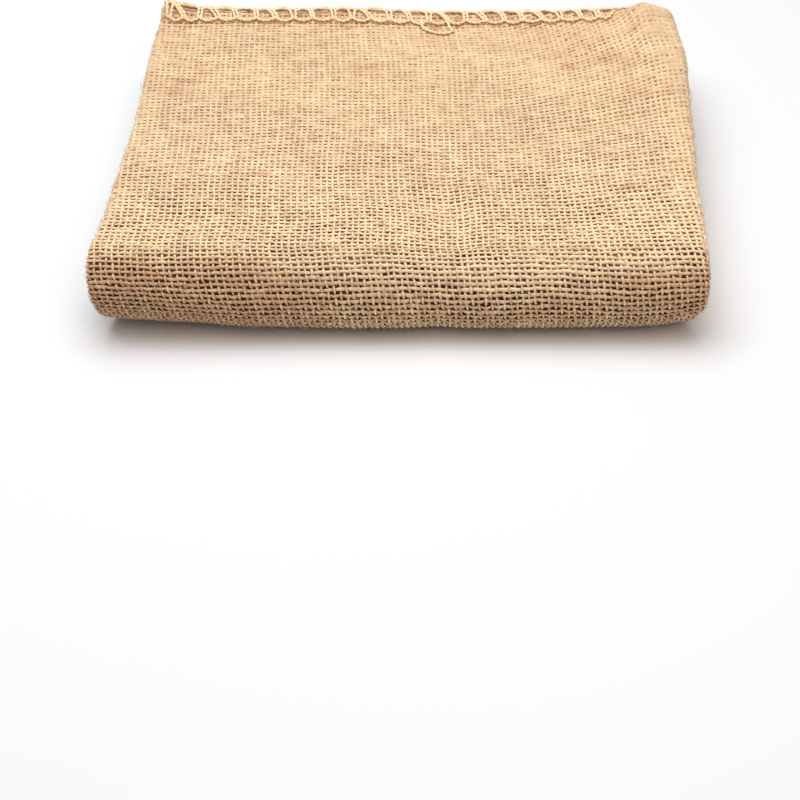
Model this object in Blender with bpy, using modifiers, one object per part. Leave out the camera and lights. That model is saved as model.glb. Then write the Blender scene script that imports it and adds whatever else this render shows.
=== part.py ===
"""A jute sack as it is folded for stacking.

The sack is a tube of cloth, closed at the bottom by a whipped seam and open at the mouth. It is
folded once along its length, which makes a band of four plies, and this band is folded twice
across: the seam ends on top at the back, the mouth lies under it, and the thick double fold
faces the front. +X runs along the front fold, +Y to the back and +Z up. The origin is on the
surface that the sack lies on, below the middle of its outline.
"""

import math
from collections import namedtuple

import bmesh
import bpy
import numpy as np

MM = 0.001

# The cloth and its layers
CLOTH = 1.5 * MM                 # thickness of the cloth
PITCH = 2.9 * MM                 # from one ply to the next
PLIES = 16
HEIGHT = CLOTH + (PLIES - 1) * PITCH
WIDTH = 307.0 * MM               # side to side, over the widest part of the front fold
FRONT_X = -4.5 * MM              # middle of the front fold, from which the sack leans right

# The folded band, front to back
FRONT_Y = -123.7 * MM            # face of the front fold
SPINE_Y = FRONT_Y + 7.5 * PITCH + CLOTH / 2
TUCK_Y = 107.7 * MM              # axis of the fold at the back
MOUTH_Y = 101.2 * MM             # end of the sack's mouth, under the seam
SEAM_Y = 119.6 * MM              # end of the top plies, closed by the seam
TAIL = 15.0 * MM                 # the last of the top plies, which lifts off the others
BEND = 8.0 * MM                  # the part of it that bends down at the right corner
BEND_RADIUS = 1.8 * MM           # of the lowest top ply there
TOP_LEVEL = 12                   # the lowest of the four top plies, counted up from 0

# The seam twine
TWINE = 1.7 * MM                 # its diameter
STITCH = 11.1 * MM               # from one stitch to the next
STITCHES = 24
FIRST_STITCH = -141.3 * MM
CLEAR = 0.5 * MM                 # between twine and cloth

# Steps in the turns at the sides: round all four plies on the right, and round two on the left
TURN_STEPS = 5
HAIRPIN_STEPS = 4

# The band from the seam to the mouth. A level counts plies up from the lowest one: that of the
# band's middle on a straight run, that of the axis on a turn. The radius is in plies. The seam's
# top ply is on the band's upper or outer side where side is 1, on the other where it is -1.
Run = namedtuple("Run", "kind level start end radius steps side")
RUNS = (
    Run("straight", 13.5, SEAM_Y, SEAM_Y - TAIL, 0, 5, 1),
    Run("straight", 13.5, SEAM_Y - TAIL, SPINE_Y, 0, 6, 1),
    Run("front turn", 7.5, SPINE_Y, SPINE_Y, 6, 8, 1),
    Run("straight", 1.5, SPINE_Y, TUCK_Y, 0, 4, -1),
    Run("back turn", 3.5, TUCK_Y, TUCK_Y, 2, 5, 1),
    Run("straight", 5.5, TUCK_Y, SPINE_Y, 0, 4, 1),
    Run("front turn", 7.5, SPINE_Y, SPINE_Y, 2, 5, -1),
    Run("straight", 9.5, SPINE_Y, MOUTH_Y, 0, 4, -1),
)

# Steps of the first run: share of it from the seam, and how far apart the plies are there
TAIL_STEPS = (
    (0.00, 0.00),
    (0.07, 0.78),
    (0.27, 1.00),
    (0.50, 1.00),
    (0.74, 1.00),
    (1.00, 1.00),
)

# The sides along the band, in mm: at which run and share of it, how far both sides lean to the
# right there, and how far the left and the right side stand in from the full width
Side = namedtuple("Side", "at lean left right")
SIDES = (
    Side(0.00, 10.5, 4.5, 3.5),
    Side(1.00, 10.0, 2.5, 2.0),
    Side(1.15, 8.5, 2.5, -2.2),
    Side(1.50, 5.0, 3.8, -2.0),
    Side(1.72, 2.5, 3.0, -0.5),
    Side(1.88, 1.0, 2.6, -1.2),
    Side(2.00, 0.0, -0.6, -0.8),
    Side(2.25, 0.0, -1.2, -1.2),
    Side(2.60, 0.0, 1.6, -0.2),
    Side(2.85, 0.0, 4.0, 3.5),
    Side(3.00, 0.0, 8.0, 7.5),
    Side(3.25, 0.5, 4.0, 4.5),
    Side(4.50, 5.5, 5.5, 3.5),
    Side(5.50, 2.0, 3.0, 5.5),
    Side(6.50, 0.0, 4.0, 4.0),
    Side(7.00, 0.0, 4.5, 5.0),
    Side(8.00, 7.0, 6.5, 3.5),
)

# The sack across, from the left side (-1) to the right side (1), in mm. front, middle and back:
# height over the full one. reach: of the back edges. seam: lift of the seam. bend: of the tail
# down over the back, in degrees. lower: lift of the lower front edge. push: front fold pushed
# in. slump: share by which the lower half of the front fold stands out further than the upper.
Across = namedtuple("Across", "share front middle back reach seam bend lower push slump")
ACROSS = (
    Across(-1.00, 0.5, -1.5, 2.0, -1.0, 9.0, 0.0, 5.0, 2.5, -0.10),
    Across(-0.88, 0.5, -1.0, 1.0, 0.0, 5.0, 0.0, 4.0, 1.2, -0.05),
    Across(-0.66, 0.0, -0.5, 0.3, 0.5, 3.8, 0.0, 3.0, 0.5, 0.05),
    Across(-0.50, 0.0, 0.0, 0.6, 0.6, 3.6, 0.0, 0.6, 0.5, 0.12),
    Across(-0.22, 0.4, 0.2, 0.2, 0.3, 3.6, 0.0, 0.0, 0.9, 0.22),
    Across(0.02, 0.4, 0.0, -0.6, 0.0, 3.5, 0.0, 0.0, 1.0, 0.25),
    Across(0.13, -0.9, -0.4, -0.8, -0.3, 3.5, 0.0, 0.6, 2.0, 0.25),
    Across(0.26, 0.3, 0.2, -0.3, 0.0, 3.5, 0.0, 0.0, 0.8, 0.22),
    Across(0.60, 0.0, 0.0, 0.3, 0.4, 3.6, 0.0, 0.0, 0.5, 0.15),
    Across(0.83, 0.2, -0.3, 2.8, 1.0, 3.6, 0.0, 0.0, 0.3, 0.05),
    Across(0.90, 0.3, -0.5, 7.5, 3.0, 0.0, 42.0, 0.0, 0.8, 0.00),
    Across(1.00, 0.5, -1.0, 7.0, -1.5, 0.0, 52.0, 2.8, 1.6, -0.10),
)
SHARES = tuple(row.share for row in ACROSS)

# Where the eased shape fades in, in y: the reach of the back edges from here to there, the push
# and the lift of the front from there forwards
REACH_FADE = (38.7 * MM, 108.7 * MM)
PUSH_FADE = (SPINE_Y + 10 * MM, SPINE_Y - 16 * MM)
LOWER_FADE = (SPINE_Y + 12 * MM, SPINE_Y - 22 * MM)


def across(share, column):
    """The value of one column of ACROSS at a share of the width."""
    return float(np.interp(share, SHARES, [getattr(row, column) for row in ACROSS]))


def side(at, column):
    """The value of one column of SIDES at a run and share of the band, in metres."""
    rows = [row.at for row in SIDES], [getattr(row, column) for row in SIDES]
    return float(np.interp(at, *rows)) * MM


def fade(value, start, end):
    """A soft step from 0 at the start to 1 at the end."""
    t = min(max((value - start) / (end - start), 0.0), 1.0)
    return t * t * (3 - 2 * t)


def side_axes(at):
    """Where the plies turn at the left and at the right, at a run and share of the band."""
    middle = FRONT_X + side(at, "lean")
    return (
        middle - WIDTH / 2 + side(at, "left") + 0.5 * PITCH + CLOTH / 2,
        middle + WIDTH / 2 - side(at, "right") - 1.5 * PITCH - CLOTH / 2,
    )


def lift_tail(share, y, level):
    """The tail's y and z: its two seam plies curl up, or all four bend down over the back."""
    z = CLOTH / 2 + level * PITCH
    past = y - (SEAM_Y - TAIL)
    if past <= 0 or level < TOP_LEVEL - 0.4:
        return y, z
    bend, bent = math.radians(across(share, "bend")), y - (SEAM_Y - BEND)
    if bend > 0 and bent > 0:
        radius = BEND_RADIUS + (level - TOP_LEVEL) * PITCH
        turned = min(bend, bent / radius)
        rest = bent - radius * turned
        y = SEAM_Y - BEND + radius * math.sin(turned) + rest * math.cos(turned)
        z += radius * (math.cos(turned) - 1) - rest * math.sin(turned)
    curl = across(share, "seam") * MM * (past / TAIL) ** 1.5
    if level < TOP_LEVEL + 1.1:
        return y, z - 0.25 * curl
    # The two upper plies turn with the slope of their middle, so that they stay as far apart
    slope = math.atan(1.5 * curl / past)
    above = (level - TOP_LEVEL - 2.5) * PITCH
    return y - above * math.sin(slope), z - above + curl + above * math.cos(slope)


def place(share, outward, y, level, at):
    """Where a point of the flat-lying band ends up: given its share of the width, how far it
    stands out past the axis of the side's turn, its y, its level, and its run and share."""
    left, right = side_axes(at)
    x = left + (right - left) * (share + 1) / 2 + outward

    # The plies below are eased as the top ones are, so the share from here on is that of the
    # top plies' width at this y
    if y > SEAM_Y - TAIL:
        above = max((SEAM_Y - y) / TAIL, 0)
    else:
        above = min(1 + (SEAM_Y - TAIL - y) / (SEAM_Y - TAIL - SPINE_Y), 2)
    left, right = side_axes(above)
    y, z = lift_tail(share, y, level)
    share = 2 * (x - left) / (right - left) - 1

    # Ease the height, between three rows of heights and over the lifted lower front edge
    back = fade(y, SPINE_Y, SEAM_Y)
    middle = 1 - abs(2 * back - 1)
    ends = across(share, "front") * (1 - back) + across(share, "back") * back
    top = HEIGHT + (ends * (1 - middle) + across(share, "middle") * middle) * MM
    low = CLOTH / 2 + across(share, "lower") * MM * fade(y, *LOWER_FADE)
    z = low + (z - CLOTH / 2) * (top - low) / (HEIGHT - CLOTH / 2)

    # Ease the depth
    if y < SPINE_Y:
        y = SPINE_Y + (y - SPINE_Y) * (1 + across(share, "slump") * (1 - 2 * z / HEIGHT))
    y += across(share, "reach") * MM * fade(y, *REACH_FADE)
    y += across(share, "push") * MM * fade(y, *PUSH_FADE)
    return x, y, z


def band():
    """Stations along the band's middle: y, level, the way to its top ply as y and level, how
    far apart the plies are, and the run and share of it."""
    stations = []
    for number, run in enumerate(RUNS):
        for step in range(0 if number == 0 else 1, run.steps + 1):
            share, apart = TAIL_STEPS[step] if number == 0 else (step / run.steps, 1.0)
            if run.kind == "straight":
                y, level, way = run.start + (run.end - run.start) * share, run.level, (0.0, 1.0)
            else:
                # An outer turn starts at its upper end at the front, at its lower at the back
                angle = math.pi * (share if run.side > 0 else 1 - share)
                forwards = 1 if run.kind == "front turn" else -1
                way = (-forwards * math.sin(angle), forwards * math.cos(angle))
                y = run.start + run.radius * PITCH * way[0]
                level = run.level + run.radius * way[1]
            way = (run.side * way[0], run.side * way[1])
            stations.append((y, level, way, apart, number + share))
    return stations


def section():
    """The closed loop across the band: share of the width, and how far out past it and off the
    band's middle, both in plies, and these two again where the plies are drawn together."""
    loop = []

    def ply(offset, drawn, shares):
        loop.extend((share, 0.0, offset, 0.0, drawn) for share in shares)

    def right_turn(radius, down):
        for step in range(1, TURN_STEPS):
            angle = down * math.pi * (0.5 - step / TURN_STEPS)
            out, up = math.cos(angle), math.sin(angle)
            loop.append((1.0, radius * out, radius * up, out, up))

    def left_hairpin(middle):
        for step in range(1, HAIRPIN_STEPS):
            angle = math.pi * (step / HAIRPIN_STEPS - 0.5)
            out, up = -0.5 * math.cos(angle), 0.5 * math.sin(angle)
            loop.append((-1.0, out, middle + up, out, middle))

    ply(1.5, 1.0, SHARES)
    right_turn(1.5, 1)
    ply(-1.5, -1.0, SHARES[::-1])
    left_hairpin(-1.0)
    ply(-0.5, -1.0, SHARES)
    right_turn(0.5, -1)
    ply(0.5, 1.0, SHARES[::-1])
    left_hairpin(1.0)
    return loop + loop[:1]


def material(name, colour, roughness):
    """A plain coloured surface."""
    made = bpy.data.materials.new(name)
    made.use_nodes = True
    shader = made.node_tree.nodes["Principled BSDF"]
    shader.inputs["Base Color"].default_value = (*colour, 1.0)
    shader.inputs["Roughness"].default_value = roughness
    shader.inputs["Metallic"].default_value = 0.0
    made.diffuse_color = (*colour, 1.0)
    return made


def sack_cloth():
    """The sack: a grid along the band and round its section, moved into the folds, joined
    where it meets itself and given the cloth's thickness."""
    stations, loop = band(), section()
    long, round_it = len(stations) - 1, len(loop) - 1
    bm = bmesh.new()
    bmesh.ops.create_grid(bm, x_segments=round_it, y_segments=long, size=0.5)
    for vert in bm.verts:
        y, level, way, apart, at = stations[round((vert.co.y + 0.5) * long)]
        share, out, off, out_drawn, off_drawn = loop[round((vert.co.x + 0.5) * round_it)]
        out = out_drawn + (out - out_drawn) * apart
        off = off_drawn + (off - off_drawn) * apart
        vert.co = place(share, out * PITCH, y + off * way[0] * PITCH, level + off * way[1], at)
    bmesh.ops.remove_doubles(bm, verts=bm.verts, dist=0.00001)
    bmesh.ops.recalc_face_normals(bm, faces=bm.faces)
    mesh = bpy.data.meshes.new("sack_cloth")
    bm.to_mesh(mesh)
    bm.free()
    mesh.shade_smooth()
    sack = bpy.data.objects.new("sack_cloth", mesh)
    wall = sack.modifiers.new("cloth", "SOLIDIFY")
    wall.thickness = CLOTH
    wall.offset = 0.0
    sack.data.materials.append(material("jute cloth", (0.62, 0.43, 0.24), 0.95))
    return sack


def seam_twine():
    """The twine of the seam, whipped over the edge: on each stitch a scallop on top of the
    cloth, a strand over the edge, a turn underneath and a second strand back over the edge."""
    radius = TWINE / 2
    over = 0.5 * PITCH + CLOTH / 2 + CLEAR + radius    # from the middle of the two seam plies
    past = CLOTH / 2 + CLEAR + radius                  # past the end of the cloth
    # Along the seam in stitches, and in from the end of the cloth
    scallop = ((0.00, 7.4 * MM), (0.14, 8.8 * MM), (0.32, 9.3 * MM), (0.50, 8.8 * MM))
    first, second = 0.66, 0.90
    inside = 5.6 * MM                                  # of the turn underneath
    points = []

    def wrap(at, lean, steps):
        for place_in_wrap, step in enumerate(steps):
            angle = math.pi * (0.5 - step / 4)
            points.append(
                (at + lean * place_in_wrap, -past * math.cos(angle), over * math.sin(angle))
            )

    for number in range(STITCHES):
        points.extend((number + at, inward, over) for at, inward in scallop)
        points.append((number + first - 0.02, 6.6 * MM, over))
        wrap(number + first, 0.004, (0, 1, 2, 3, 4))
        points.append((number + first + 0.02, inside, -over))
        points.append((number + second - 0.03, inside, -over))
        wrap(number + second, 0.006, (4, 3, 2, 1, 0))
    points.append((STITCHES, 7.4 * MM, over))
    points.append((STITCHES + 0.3, 9.0 * MM, over))

    left, right = side_axes(0)
    curve = bpy.data.curves.new("seam_twine", "CURVE")
    curve.dimensions = "3D"
    curve.bevel_depth = radius
    curve.bevel_resolution = 1
    curve.use_fill_caps = True
    spline = curve.splines.new("POLY")
    spline.points.add(len(points) - 1)
    for point, (along, inward, above) in zip(spline.points, points):
        share = 2 * (FIRST_STITCH + along * STITCH - left) / (right - left) - 1
        level = TOP_LEVEL + 2.5 + above / PITCH
        point.co = (*place(share, 0.0, SEAM_Y - inward, level, inward / TAIL), 1.0)
    twine = bpy.data.objects.new("seam_twine", curve)
    twine.data.materials.append(material("seam twine", (0.78, 0.62, 0.40), 0.9))
    return twine


for old in list(bpy.data.objects):
    bpy.data.objects.remove(old, do_unlink=True)
collection = bpy.data.collections.new("jute sack")
bpy.context.scene.collection.children.link(collection)
for piece in (sack_cloth(), seam_twine()):
    collection.objects.link(piece)
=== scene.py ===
# %% [markdown]
# A folded jute sack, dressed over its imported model
#
# The sack is one tube of coarse jute cloth, folded once along its length and twice across. The
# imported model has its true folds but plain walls. This script weaves the cloth that lies on
# those folds, sews the seam with twisted twine and adds the loose fibres of raw jute.

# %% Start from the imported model
import math
from collections import namedtuple

import bmesh
import bpy
import numpy as np
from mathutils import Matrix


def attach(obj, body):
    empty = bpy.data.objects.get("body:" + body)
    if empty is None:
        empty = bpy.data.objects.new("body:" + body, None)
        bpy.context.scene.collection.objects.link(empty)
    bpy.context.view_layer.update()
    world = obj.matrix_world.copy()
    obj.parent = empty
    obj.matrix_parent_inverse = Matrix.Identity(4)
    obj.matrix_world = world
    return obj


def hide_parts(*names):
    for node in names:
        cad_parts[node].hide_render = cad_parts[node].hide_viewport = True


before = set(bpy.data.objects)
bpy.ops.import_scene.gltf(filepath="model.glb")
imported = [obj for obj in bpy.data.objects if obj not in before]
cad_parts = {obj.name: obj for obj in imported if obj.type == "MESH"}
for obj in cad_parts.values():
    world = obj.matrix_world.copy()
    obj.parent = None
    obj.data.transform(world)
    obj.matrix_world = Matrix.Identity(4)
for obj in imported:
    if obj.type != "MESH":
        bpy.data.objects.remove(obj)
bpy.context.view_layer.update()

MM = 0.001
print("nodes:", sorted(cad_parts))

# %% [markdown]
# Camera
#
# The sack is seen from the front and from well above, so that both the folded front and the
# whole top show. A long lens from some way off keeps the sides nearly straight. Colours are
# shown as they are, without a film curve, which would grey the straw colour.

# %% Camera
CAMERA_AT = (-0.0037, -0.7773, 0.571)
CAMERA_DOWN = 43.0               # degrees below level
LENS, SENSOR = 77.36, 36.0       # mm


def add_object(name, data, at=(0.0, 0.0, 0.0)):
    """A new object in the scene."""
    made = bpy.data.objects.new(name, data)
    made.location = at
    bpy.context.collection.objects.link(made)
    return made


camera = add_object("camera", bpy.data.cameras.new("camera"), CAMERA_AT)
camera.data.lens, camera.data.sensor_width, camera.data.clip_start = LENS, SENSOR, 0.01
camera.rotation_euler = (math.radians(90 - CAMERA_DOWN), 0.0, 0.0)
bpy.context.scene.camera = camera
bpy.context.scene.view_settings.view_transform = "Standard"
print("camera", CAMERA_AT, "lens", LENS)

# %% [markdown]
# Table, sky and lights
#
# The sack lies on a pale table. Two big area lights, one overhead and one low in front, and a
# pale sky give a soft light without hard edges. Small hard lamps would draw a black line beside
# every yarn. The materials are made of nodes, and a few helpers keep that short.


# %% Materials and their nodes
def feed(tree, node, inputs):
    """Sets a node's inputs to plain values, or links them where a socket is given."""
    for key, value in inputs.items():
        if isinstance(value, bpy.types.NodeSocket):
            tree.links.new(value, node.inputs[key])
        else:
            node.inputs[key].default_value = value
    return node


def add_node(tree, kind, inputs=None, **settings):
    """A new node, with its settings made and its inputs fed."""
    made = tree.nodes.new("ShaderNode" + kind)
    for key, value in settings.items():
        setattr(made, key, value)
    return feed(tree, made, inputs or {})


def maths(tree, operation, *values):
    """The result of a Math node over values or sockets."""
    return add_node(tree, "Math", dict(enumerate(values)), operation=operation).outputs[0]


def blend(tree, factor, low, high):
    """The colour between two others; in a Mix node they are the inputs 6 and 7."""
    return add_node(tree, "Mix", {"Factor": factor, 6: low, 7: high}, data_type="RGBA").outputs[2]


def new_material(name, values):
    """A material and its Principled BSDF, with plain values set on the shader's own sockets."""
    made = bpy.data.materials.new(name)
    made.use_nodes = True
    return made, feed(made.node_tree, made.node_tree.nodes["Principled BSDF"], values)


pale_table = new_material(
    "pale table", {"Roughness": 0.9, "Base Color": (0.70, 0.71, 0.72, 1.0)})[0]
print("finish:", pale_table.name)


# %% Table
def grid_mesh(name, columns, rows, size=0.5, strip=None):
    """A flat grid of points as a mesh, and each point's column and row. With a strip, the grid
    falls apart into strips of that many rows."""
    bm = bmesh.new()
    bmesh.ops.create_grid(bm, x_segments=columns - 1, y_segments=rows - 1, size=size)
    if strip:
        between = [face for number, face in enumerate(bm.faces[:])
                   if (number // (columns - 1)) % strip == strip - 1]
        bmesh.ops.delete(bm, geom=between, context="FACES_ONLY")
    mesh = bpy.data.meshes.new(name)
    bm.to_mesh(mesh)
    bm.free()
    flat = np.empty(len(mesh.vertices) * 3)
    mesh.vertices.foreach_get("co", flat)
    x, y = flat.reshape(-1, 3)[:, :2].T / (2 * size) + 0.5
    return mesh, np.rint(x * (columns - 1)).astype(int), np.rint(y * (rows - 1)).astype(int)


table_mesh = grid_mesh("table", 2, 2, size=4.0)[0]
table_mesh.materials.append(pale_table)
table = add_object("table", table_mesh, (0.0, 0.0, -0.2 * MM))
print("table", [round(side, 1) for side in table.dimensions], "m")

# %% Sky and lights
world = bpy.data.worlds.new("soft sky")
world.use_nodes = True
feed(world.node_tree, world.node_tree.nodes["Background"],
     {"Color": (1.0, 1.0, 1.0, 1.0), "Strength": 0.34})
bpy.context.scene.world = world


def area_light(name, at, size, power, colour):
    """A square area light that looks at the middle of the table."""
    light = bpy.data.lights.new(name, "AREA")
    light.shape, light.size, light.energy, light.color = "SQUARE", size, power, colour
    made = add_object(name, light, at)
    x, y, z = at
    made.rotation_euler = (math.atan2(math.hypot(x, y), z), 0.0, math.atan2(x, -y))


area_light("overhead", (-0.15, 0.14, 1.25), 1.2, 20.6, (0.98, 1.0, 1.03))
area_light("front", (0.35, -0.70, 1.0), 0.6, 3.6, (1.0, 0.76, 0.58))

# %% [markdown]
# The folds
#
# A sheet of cloth is flat, and folding only moves it. So everything here is first laid out on
# the flat cloth, with u round the tube, v along it from the seam to the mouth, and a lift off
# the cloth. One function, fold, then carries any such point to its place in the folded sack.
# Along v the cloth is a band that runs back and forth through the folds, four plies at a time.
# Lengths on the cloth are in mm; a mesh turns them into metres when it is made.

# %% Measures of the folded sack
TABLE_GAP = 0.05                 # the least height over the table
CLOTH = 1.5                      # thickness of the cloth
PITCH = 2.9                      # from one ply to the next
PLIES = 16
HEIGHT = CLOTH + (PLIES - 1) * PITCH
WIDTH = 307.0                    # of the folded sack, before its sides are eased
FRONT_X = -4.5                   # middle of the front
FRONT_Y = -123.7                 # where the front fold ends
SPINE_Y = FRONT_Y + 7.5 * PITCH + CLOTH / 2      # axis of the front fold
TUCK_Y = 107.7                   # axis of the back fold
MOUTH_Y = 101.2                  # where the open end lies, inside at the back
SEAM_Y = 119.6                   # where the closed end lies, on top at the back
TAIL = 15.0                      # the seam's end, whose two pairs of plies part
BEND = 8.0                       # the part of it that bends down at the rear right corner
BEND_RADIUS = 1.8
TOP_LEVEL = 12                   # the lowest ply of the top band, counted from below
UPPER, LOWER = TOP_LEVEL + 2.5, TOP_LEVEL + 0.5  # levels of the two pairs of the seam's plies
CURL_POWER = 1.5                 # how late along its end the seam curls up
LOWER_SINKS = 0.25               # of the curl of the upper pair, under which the lower one sinks


def columns_of(names, *rows):
    """A table as one array for each name."""
    return dict(zip(names.split(), np.array(rows, float).T))


# Each straight run (turn 0) or fold of the band: level of its middle, start and end in y, radius
# in plies, and on which side of it the top ply lies
RUNS = columns_of(
    "turn level start end radius side",
    (0, 13.5, SEAM_Y, SEAM_Y - TAIL, 0, 1),
    (0, 13.5, SEAM_Y - TAIL, SPINE_Y, 0, 1),
    (1, 7.5, SPINE_Y, SPINE_Y, 6, 1),
    (0, 1.5, SPINE_Y, TUCK_Y, 0, -1),
    (-1, 3.5, TUCK_Y, TUCK_Y, 2, 1),
    (0, 5.5, TUCK_Y, SPINE_Y, 0, 1),
    (1, 7.5, SPINE_Y, SPINE_Y, 2, -1),
    (0, 9.5, SPINE_Y, MOUTH_Y, 0, -1),
)


def run_lengths(off, straight):
    """How long each run and fold is, off the band's middle."""
    return np.where(RUNS["turn"] != 0, math.pi * (RUNS["radius"] + off * RUNS["side"]) * PITCH,
                    straight)


LENGTHS = run_lengths(1.5, np.abs(RUNS["end"] - RUNS["start"]))
STARTS = np.append(0.0, np.cumsum(LENGTHS))[:-1]
LONG = float(LENGTHS.sum())
# How far apart the two pairs of plies are, along the tail, as a share of their usual way
TAIL_APART = (0.0, 0.07, 0.27, 1.0), (0.0, 0.78, 1.0, 1.0)
print("the cloth is", round(LONG), "mm long from seam to mouth")

# %% [markdown]
# An uneven stack
#
# Sixteen plies laid by hand never make a neat block. The sides step in and out, the top sinks
# here and swells there, the seam curls up and one rear corner bends down. Short tables hold
# these differences in mm, with their corners rounded off, because they are easy to read and to
# change one by one.

# %% Tables of the sides and of the shape across
SIDES = (  # runs and their shares from the seam on; mm: lean, left, right
    (0.00, 10.5, 4.5, 3.5), (1.00, 10.0, 2.5, 2.0), (1.15, 8.5, 2.5, -2.2),
    (1.50, 5.0, 3.8, -2.0), (1.72, 2.5, 3.0, -0.5), (1.88, 1.0, 2.6, -1.2),
    (2.00, 0.0, -0.6, -0.8), (2.25, 0.0, -1.2, -1.2), (2.60, 0.0, 1.6, -0.2),
    (2.85, 0.0, 4.0, 3.5), (3.00, 0.0, 8.0, 7.5), (3.25, 0.5, 4.0, 4.5),
    (4.50, 5.5, 5.5, 3.5), (5.50, 2.0, 3.0, 5.5), (6.50, 0.0, 4.0, 4.0),
    (7.00, 0.0, 4.5, 5.0), (8.00, 7.0, 6.5, 3.5),
)
ACROSS = (  # share of the width from -1 to 1; mm of each shape, but bend is in degrees
    (-1.00, 0.5, -1.5, 2.0, -1.0, 9.0, 0.0, 5.0, 2.5, -0.10),
    (-0.88, 0.5, -1.0, 1.0, 0.0, 5.0, 0.0, 4.0, 1.2, -0.05),
    (-0.66, 0.0, -0.5, 0.3, 0.5, 3.8, 0.0, 3.0, 0.5, 0.05),
    (-0.50, 0.0, 0.0, 0.6, 0.6, 3.6, 0.0, 0.6, 0.5, 0.12),
    (-0.22, 0.4, 0.2, 0.2, 0.3, 3.6, 0.0, 0.0, 0.9, 0.22),
    (0.02, 0.4, 0.0, -0.6, 0.0, 3.5, 0.0, 0.0, 1.0, 0.25),
    (0.13, -0.9, -0.4, -0.8, -0.3, 3.5, 0.0, 0.6, 2.0, 0.25),
    (0.26, 0.3, 0.2, -0.3, 0.0, 3.5, 0.0, 0.0, 0.8, 0.22),
    (0.60, 0.0, 0.0, 0.0, 0.4, 2.6, 0.0, 0.0, 0.5, 0.15),
    (0.83, 0.2, -0.3, 2.0, 1.0, 2.0, 0.0, 0.0, 0.3, 0.05),
    (0.90, 0.3, -0.5, 7.5, 3.0, 0.0, 42.0, 0.0, 0.8, 0.00),
    (1.00, 0.5, -1.0, 7.0, -1.5, 0.0, 52.0, 2.8, 1.6, -0.10),
)
ACROSS_NAMES = "front middle back reach seam bend lower push slump".split()


def rounded(rows, column, spread):
    """One column of a table as a function of its first, with the corners rounded off."""
    where = np.array([row[0] for row in rows])
    close = np.linspace(where[0], where[-1], 801)
    values = np.interp(close, where, [row[column] for row in rows])
    reach = max(int(spread / (close[1] - close[0])), 1)
    padded = np.pad(values, reach, mode="edge")
    kernel = np.hanning(2 * reach + 3)[1:-1]
    values = np.convolve(padded, kernel / kernel.sum(), mode="valid")
    return lambda at: np.interp(at, close, values)


lean, left_in, right_in = (rounded(SIDES, column, 0.05) for column in (1, 2, 3))
across = {name: rounded(ACROSS, number, 0.05) for number, name in enumerate(ACROSS_NAMES, 1)}
print("tables: 3 for the sides,", len(across), "across")


# %% Turned sides and the seam's end
def fade(value, start, end):
    """A soft step from 0 at the start to 1 at the end, which may be the smaller one."""
    t = np.clip((value - start) / (end - start), 0.0, 1.0)
    return t * t * (3 - 2 * t)


def side_axes(at):
    """Where the plies turn at the left and at the right."""
    middle = FRONT_X + lean(at)
    return (middle - WIDTH / 2 + left_in(at) + 0.5 * PITCH + CLOTH / 2,
            middle + WIDTH / 2 - right_in(at) - 1.5 * PITCH - CLOTH / 2)


def lift_tail(share, y, level):
    """The last of the top plies: the seam curls up, or all four bend down at the right."""
    z = CLOTH / 2 + level * PITCH
    past = y - (SEAM_Y - TAIL)
    in_tail = (past > 0) & (level >= TOP_LEVEL - 0.4)
    past = np.maximum(past, 1e-9)
    bend, bent = np.radians(across["bend"](share)), np.maximum(y - (SEAM_Y - BEND), 0.0)
    radius = BEND_RADIUS + (np.maximum(level, TOP_LEVEL - 0.4) - TOP_LEVEL) * PITCH
    turned = np.minimum(bend, bent / radius)
    rest = bent - radius * turned
    bends = in_tail & (bend > 0) & (bent > 0)
    new_y = np.where(bends, SEAM_Y - BEND + radius * np.sin(turned) + rest * np.cos(turned), y)
    new_z = np.where(bends, z + radius * (np.cos(turned) - 1) - rest * np.sin(turned), z)
    curl = across["seam"](share) * (past / TAIL) ** CURL_POWER
    slope = np.arctan(CURL_POWER * curl / past)
    above = (level - UPPER) * PITCH
    upper = in_tail & (level >= TOP_LEVEL + 1.5)
    new_z = np.where(in_tail & ~upper, new_z - LOWER_SINKS * curl, new_z)
    new_z = np.where(upper, new_z - above + curl + above * np.cos(slope), new_z)
    return np.where(upper, new_y - above * np.sin(slope), new_y), new_z


corner = lift_tail(np.array([1.0]), np.array([SEAM_Y]), np.array([15.0]))[1][0]
print("the bent corner lies", round(HEIGHT - CLOTH / 2 - corner, 1), "mm down")

# %% Swells of the top
CREASES = (  # middle x and y, half length and half width (mm), turn, height (mm)
    (24.0, -78.0, 9.0, 30.0, 0.10, -1.3), (-22.0, -52.0, 46.0, 9.0, -0.45, -0.8),
    (112.0, 8.0, 48.0, 8.0, 0.42, -1.0), (108.0, 36.0, 40.0, 7.0, 0.35, -0.7),
    (128.0, -34.0, 30.0, 8.0, 0.30, -0.8), (-98.0, 40.0, 44.0, 10.0, -0.12, -0.6),
    (-60.0, -95.0, 50.0, 7.0, 0.05, 0.7), (88.0, -96.0, 46.0, 7.0, -0.04, 0.6),
    (139.0, 112.0, 13.0, 14.0, 0.00, 3.4),
)


def ovals(x, y, table):
    """A sum of soft oval spots: middle x and y, half length and width in mm, turn, strength."""
    total = 0.0
    for at_x, at_y, wide, deep, turn, strength in table:
        off_x, off_y = x - at_x, y - at_y
        along_it = off_x * math.cos(turn) + off_y * math.sin(turn)
        over_it = off_y * math.cos(turn) - off_x * math.sin(turn)
        total = total + strength * np.exp(-(along_it / wide) ** 2 - (over_it / deep) ** 2)
    return total


def swell(x, y):
    """Soft, uneven dips and rises of the top, a few tenths of a millimetre to a millimetre."""
    waves = 0.35 * np.sin(x / 13 + y / 31) * np.sin(y / 17 - x / 45)
    return waves + 0.25 * np.sin(x / 29 - y / 11 + 1.0) + ovals(x, y, CREASES)


print(len(CREASES), "soft creases; at its middle the top swells", round(swell(0.0, 0.0), 2), "mm")

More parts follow.
